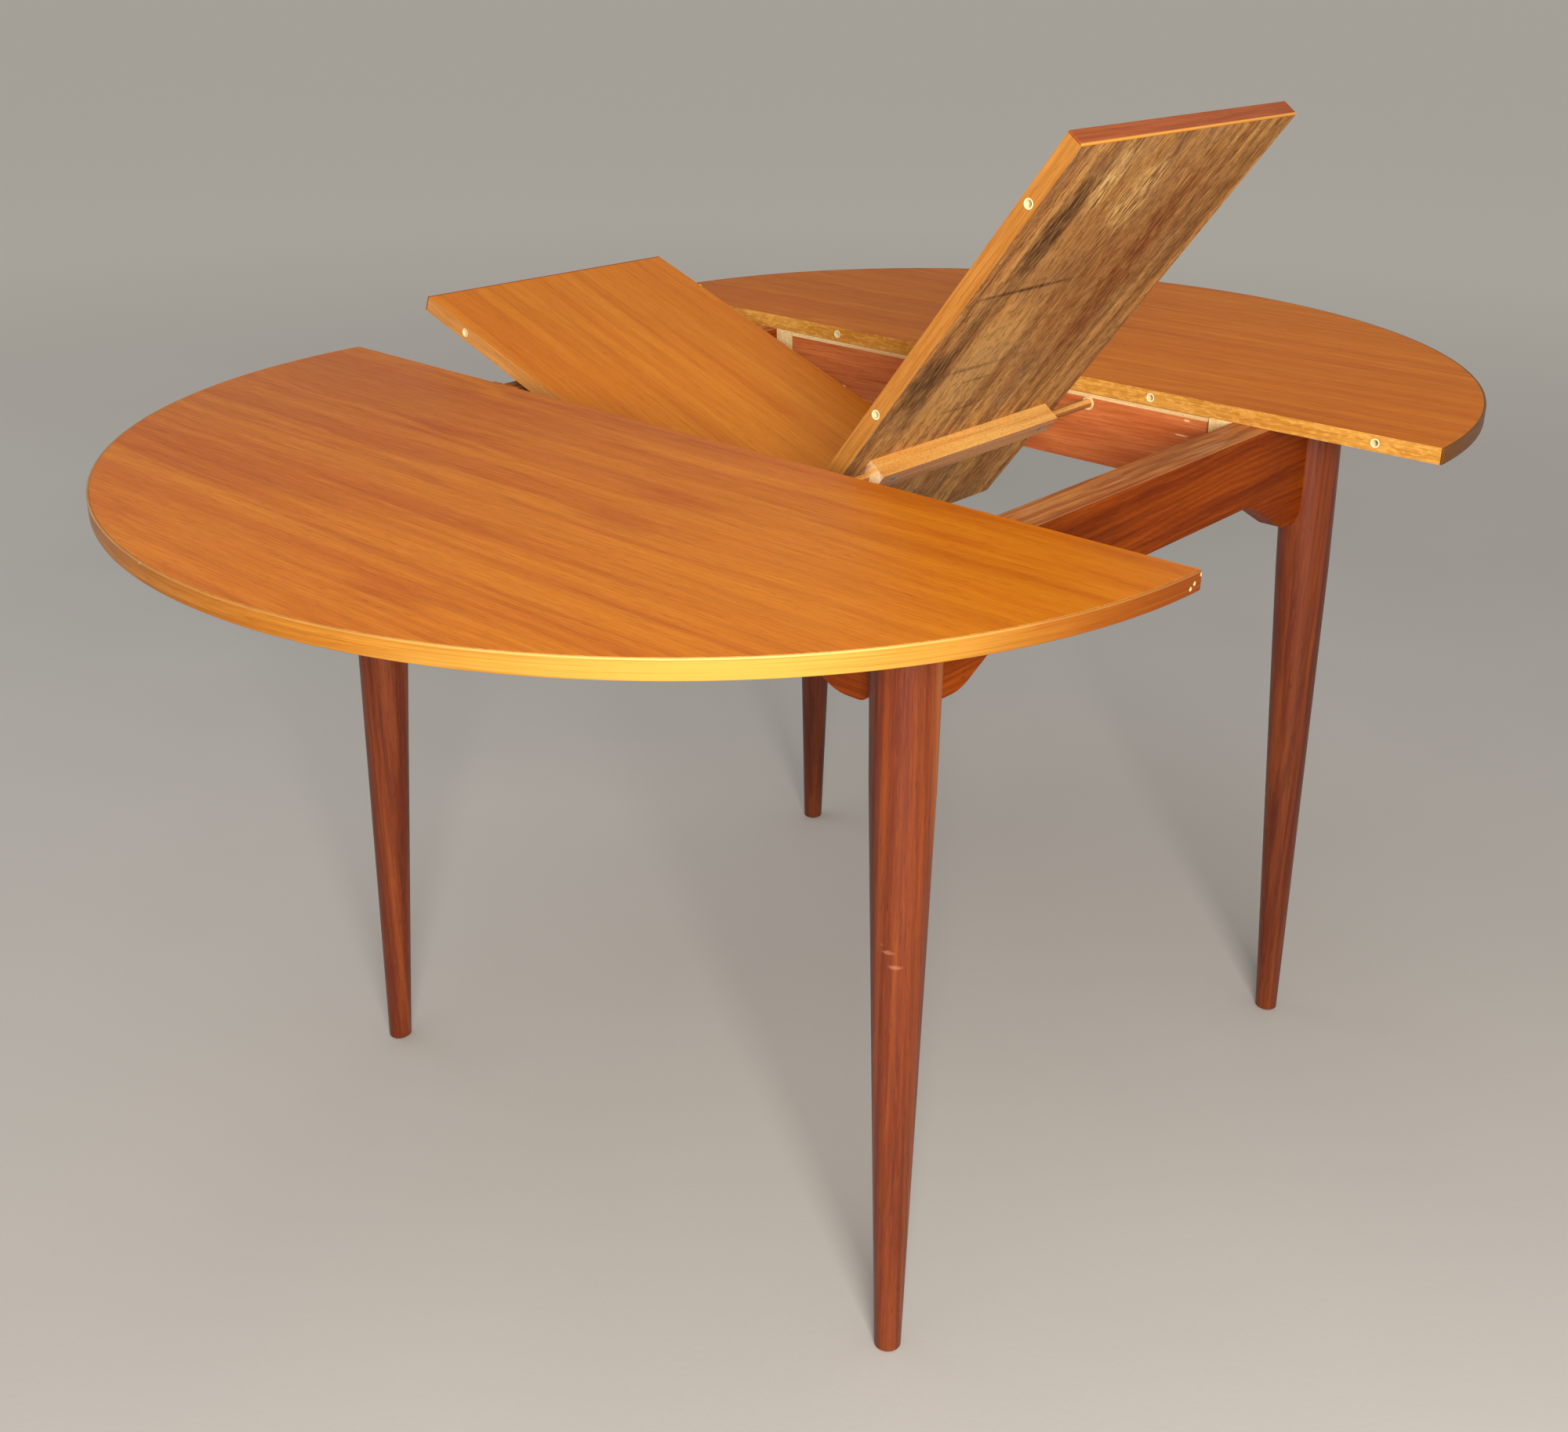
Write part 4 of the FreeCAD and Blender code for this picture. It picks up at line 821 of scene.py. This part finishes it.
def link_piece(shape, name, body, finishes, stands_for):
    """Make a piece from a shape: it rides on its body and stands for the nodes it shows."""
    mesh = bpy.data.meshes.new(name)
    shape.to_mesh(mesh)
    shape.free()
    for finish in finishes:
        mesh.materials.append(finish)
    mesh.set_sharp_from_angle(angle=CORNER)
    mesh.polygons.foreach_set("use_smooth", [face.area < BROAD_FACE for face in mesh.polygons])
    piece = bpy.data.objects.new(name, mesh)
    bpy.context.scene.collection.objects.link(piece)
    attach(piece, body)
    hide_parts(*stands_for)
    print(name, len(mesh.polygons), "faces")
    return piece

# %% A helper that copies a node and eases it
def eased(node_name, arris, finishes, pick=None, rework=None):
    """A copy of a node with eased arrises. Its finish is picked by the way each face looks."""
    source = frame["nodes"][node_name]
    shape = bmesh.new()
    shape.from_mesh(source.data)
    bmesh.ops.remove_doubles(shape, verts=shape.verts, dist=WELD)
    bmesh.ops.dissolve_limit(shape, angle_limit=FLAT, verts=shape.verts, edges=shape.edges)
    if pick:
        for face in shape.faces:
            face.material_index = pick(face.normal)
    if rework:
        rework(shape)
    piece = link_piece(shape, node_name + "_eased", source["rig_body"], finishes, [node_name])
    ease(piece, arris)
    return piece


def by_side(up):
    """A picker for a board: 0 for its face, 1 for its underside, 2 for its edges."""
    def pick(normal):
        looks = normal.dot(up)
        if looks > 0.9:
            return 0
        return 1 if looks < -0.9 else 2
    return pick

# %% [markdown]
# ## The half tops
# Each half top is a board of chipboard, veneered on both faces, with a strip of solid teak bent
# round its rim. The board is a copy of its node. The node's rim is a chain of facets, so each is cut
# finer and its new points are set back on the circle before the edges are eased. The strip is a
# small rectangle spun half way round, which is how it was bent.

# %% Half tops
RIM_CUTS = 3
LONGEST_FACET = 60 * MM
UP = Vector((0, 0, 1))


def round_rim(side):
    """Cut the facets of a rim finer and set them back on the circle."""
    def rework(shape):
        centre = Vector((0, side * OPEN_HALF))
        reach = max((vert.co.xy - centre).length for vert in shape.verts)
        rim = [edge for edge in shape.edges
               if all(abs((vert.co.xy - centre).length - reach) < WELD for vert in edge.verts)
               and WELD < edge.calc_length() < LONGEST_FACET
               and abs(edge.verts[0].co.z - edge.verts[1].co.z) < WELD]
        cut = bmesh.ops.subdivide_edges(shape, edges=rim, cuts=RIM_CUTS)
        for vert in (item for item in cut["geom_inner"] if isinstance(item, bmesh.types.BMVert)):
            offset = vert.co.xy - centre
            vert.co.xy = centre + offset * (reach / offset.length)
    return rework


eased("near_top", 0.3, [near_veneer, top_underside, top_edge], by_side(UP), round_rim(-1))
eased("far_top", 0.3, [far_veneer, top_underside, top_edge], by_side(UP), round_rim(1))

# %% Bent lippings
LIPPING_THICK = 2.5 * MM
LIPPING_ARRIS = 1.1
LIPPING_STEPS = 160


def bend_lipping(side, side_name, finish):
    """A strip of solid teak bent half way round a half top."""
    low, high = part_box(side_name + "_lipping")
    radius = min(high.x, max(-low.y, high.y) - OPEN_HALF)
    shape = bmesh.new()
    bmesh.ops.create_grid(shape, x_segments=1, y_segments=1, size=0.5)
    upright = (Matrix.Translation((radius - LIPPING_THICK / 2, side * OPEN_HALF, (low.z + high.z) / 2))
               @ Matrix.Rotation(math.pi / 2, 4, "X")
               @ Matrix.Diagonal((LIPPING_THICK, high.z - low.z, 1, 1)))
    bmesh.ops.transform(shape, matrix=upright, verts=shape.verts)
    bmesh.ops.spin(shape, geom=shape.verts[:] + shape.edges[:] + shape.faces[:],
                   cent=(0, side * OPEN_HALF, 0), axis=(0, 0, 1), angle=side * math.pi,
                   steps=LIPPING_STEPS, use_merge=False)
    bmesh.ops.recalc_face_normals(shape, faces=shape.faces)
    piece = link_piece(shape, side_name + "_lipping_bent", side_name + "_half_top", [finish],
                       [side_name + "_lipping"])
    ease(piece, LIPPING_ARRIS, segments=3)


bend_lipping(-1, "near", near_banding)
bend_lipping(1, "far", far_banding_shaded)

# %% [markdown]
# ## The legs
# A leg is turned on a lathe: parallel at its head, then one long taper to a small foot, with the
# knee between them rounded over. Spinning half its outline gives the same shape. It is turned
# upright and then leaned outwards, because its foot stands wider than its head.

# %% Turned legs
FOOT_SPREAD = 356 * MM
HEAD_SPREAD = 333 * MM
FOOT_RADIUS = 12 * MM
LEG_RADIUS = 29 * MM
FOOT_EASE = 1.5 * MM
KNEE_HEIGHT = 620 * MM
KNEE_EASE = 70 * MM
LEG_STEPS = 72


def turn_leg(way, side, node_name):
    """A leg turned upright and then leaned out."""
    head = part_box(node_name)[1].z
    shape = bmesh.new()
    profile = [(0, 0), (FOOT_RADIUS - FOOT_EASE, 0), (FOOT_RADIUS, FOOT_EASE), (LEG_RADIUS, KNEE_HEIGHT),
               (LEG_RADIUS, head), (0, head)]
    line = [shape.verts.new((reach, 0, height)) for reach, height in profile]
    edges = [shape.edges.new(pair) for pair in zip(line, line[1:])]
    bmesh.ops.spin(shape, geom=line + edges, cent=(0, 0, 0), axis=(0, 0, 1), angle=2 * math.pi,
                   steps=LEG_STEPS, use_merge=True)
    bmesh.ops.remove_doubles(shape, verts=shape.verts, dist=WELD)
    knee = [edge for edge in shape.edges
            if all(abs(vert.co.z - KNEE_HEIGHT) < WELD for vert in edge.verts)]
    bmesh.ops.bevel(shape, geom=knee, offset=KNEE_EASE, segments=6, profile=0.5, affect="EDGES",
                    material=-1)
    bmesh.ops.recalc_face_normals(shape, faces=shape.faces)
    lean = (HEAD_SPREAD - FOOT_SPREAD) / head
    leaned = Matrix(((1, 0, way * lean, way * FOOT_SPREAD), (0, 1, side * lean, side * FOOT_SPREAD),
                     (0, 0, 1, 0), (0, 0, 0, 1)))
    bmesh.ops.transform(shape, matrix=leaned, verts=shape.verts)
    link_piece(shape, node_name + "_turned", "frame", [leg_teak], [node_name])


for side, side_name in ((-1, "near"), (1, "far")):
    for way, way_name in ((-1, "left"), (1, "right")):
        turn_leg(way, side, f"{side_name}_{way_name}_leg")

# %% [markdown]
# ## The frame
# Four arched rails tie the legs together, and two cross rails carry the leaf. All keep the shape of
# their nodes with eased arrises. The side rails and the guide battens on them get the dusty finish
# on the faces that look up.

# %% Rails, battens and strips
RAIL_SIDES = [dusty_teak, side_rail_teak, side_rail_teak]
for way_name in ("left", "right"):
    eased(way_name + "_side_rail", 1.0, RAIL_SIDES, by_side(UP))
    eased(way_name + "_guide_batten", 0.6, RAIL_SIDES, by_side(UP))
for side_name in ("near", "far"):
    eased(side_name + "_end_rail", 1.0, [end_rail_teak])
    eased(side_name + "_cross_rail", 0.8, [mahogany])
    eased(side_name + "_glide_strip", 0.4, [strip_beech])
eased("corner_dowels", 0.4, [strip_beech])
eased("cross_rail_dowels", 0.4, [runner_beech])

# %% [markdown]
# ## Screws that a driver could turn
# The runners and the pivot bar are held with slotted countersunk screws, but their nodes have plain
# heads. A slot is cut the way a saw would: two cuts across the face of the head leave a narrow strip
# between them, and that strip is pushed down into the head. The battens' screws keep plain heads.

# %% A helper that cuts slots
SLOT_WIDE = 1.0 * MM
SLOT_DEEP = 0.9 * MM


def slot_heads(outwards, across):
    """Cut a slot in every head that looks outwards. Across is square to the slot."""
    def rework(shape):
        heads = [face for face in shape.faces if face.normal.dot(outwards) > 0.99]
        widest = max(head.calc_area() for head in heads)
        for head in [face for face in heads if face.calc_area() > 0.7 * widest]:
            middle = head.calc_center_bounds()
            for way in (-1, 1):
                near = [face for face in shape.faces if face.normal.dot(outwards) > 0.99
                        and (face.calc_center_bounds() - middle).length < 8 * SLOT_WIDE]
                around = {item for face in near for item in [*face.edges, *face.verts]}
                bmesh.ops.bisect_plane(shape, geom=near + list(around), dist=WELD,
                                       plane_co=middle + across * (way * SLOT_WIDE / 2), plane_no=across)
            strip = min((face for face in shape.faces if face.normal.dot(outwards) > 0.99),
                        key=lambda face: (face.calc_center_bounds() - middle).length)
            sunk = bmesh.ops.extrude_discrete_faces(shape, faces=[strip])["faces"]
            bmesh.ops.translate(shape, vec=outwards * -SLOT_DEEP,
                                verts=[vert for face in sunk for vert in face.verts])
    return rework


DOWN = Vector((0, 0, -1))
ACROSS = Vector((1, 0, 0))
for side_name in ("near", "far"):
    eased(side_name + "_runner_screws", 0.12, [zinc], None, slot_heads(DOWN, ACROSS))
eased("pivot_bar_screws", 0.12, [zinc], None, slot_heads(-right_up, right_out))
eased("batten_screws", 0.15, [zinc])

# %% [markdown]
# ## Runners, stops and pegs
# These are all beech, planed or turned, and they need no more than an eased arris and their own
# direction of grain. The pegs meet nylon sockets in the facing edge.

# %% Runners, stops and pegs
for side_name in ("near", "far"):
    eased(side_name + "_tongues", 0.4, [runner_beech])
    eased(side_name + "_stops", 0.4, [strip_beech])
    for way_name in ("left", "right"):
        eased(f"{side_name}_{way_name}_runner", 0.8, [runner_beech])
        eased(f"{side_name}_{way_name}_slide", 0.8, [runner_beech])
eased("near_pegs", 0.2, [runner_beech])
eased("far_sockets", 0.3, [nylon])

# %% [markdown]
# ## The leaf
# Both halves are boards like the tops, with a thin strip of solid teak on their outer ends, and
# they meet on two brass hinges. Under the right half lies the pivot bar, whose round ends turn in
# the cross rails on pale washers. Its shoulders and pins are whittled, so their arris is wide.

# %% The leaf, its hinges and its bar
LEAF_HALVES = {
    "leaf_right": ([right_veneer, leaf_underside, right_edge], right_up, right_end),
    "leaf_left": ([left_veneer, left_underside, left_edge], left_up, left_end),
}
for half, (faces, up, end_finish) in LEAF_HALVES.items():
    eased(half + "_board", 0.5, faces, by_side(up))
    eased(half + "_lipping", 0.5, [end_finish])
    eased(half + "_pegs", 0.2, [runner_beech])
    eased(half + "_sockets", 0.3, [nylon])
    eased(half + "_hinge_plates", 0.15, [brass])
    eased(half + "_hinge_screws", 0.1, [brass])
eased("hinge_pins", 0.1, [brass])
eased("pivot_washers", 0.3, [strip_beech])


def bar_side(normal):
    """0 for the face that looks up and out, painted lighter as painted light, 1 for the stained ones, 2
    for the worn ends.
    """
    if normal.dot(right_out) > 0.8:
        return 0
    return 2 if abs(normal.y) > 0.4 else 1


eased("pivot_bar", 1.2, [bar_lit_face, bar_stained, bar_bare], bar_side)
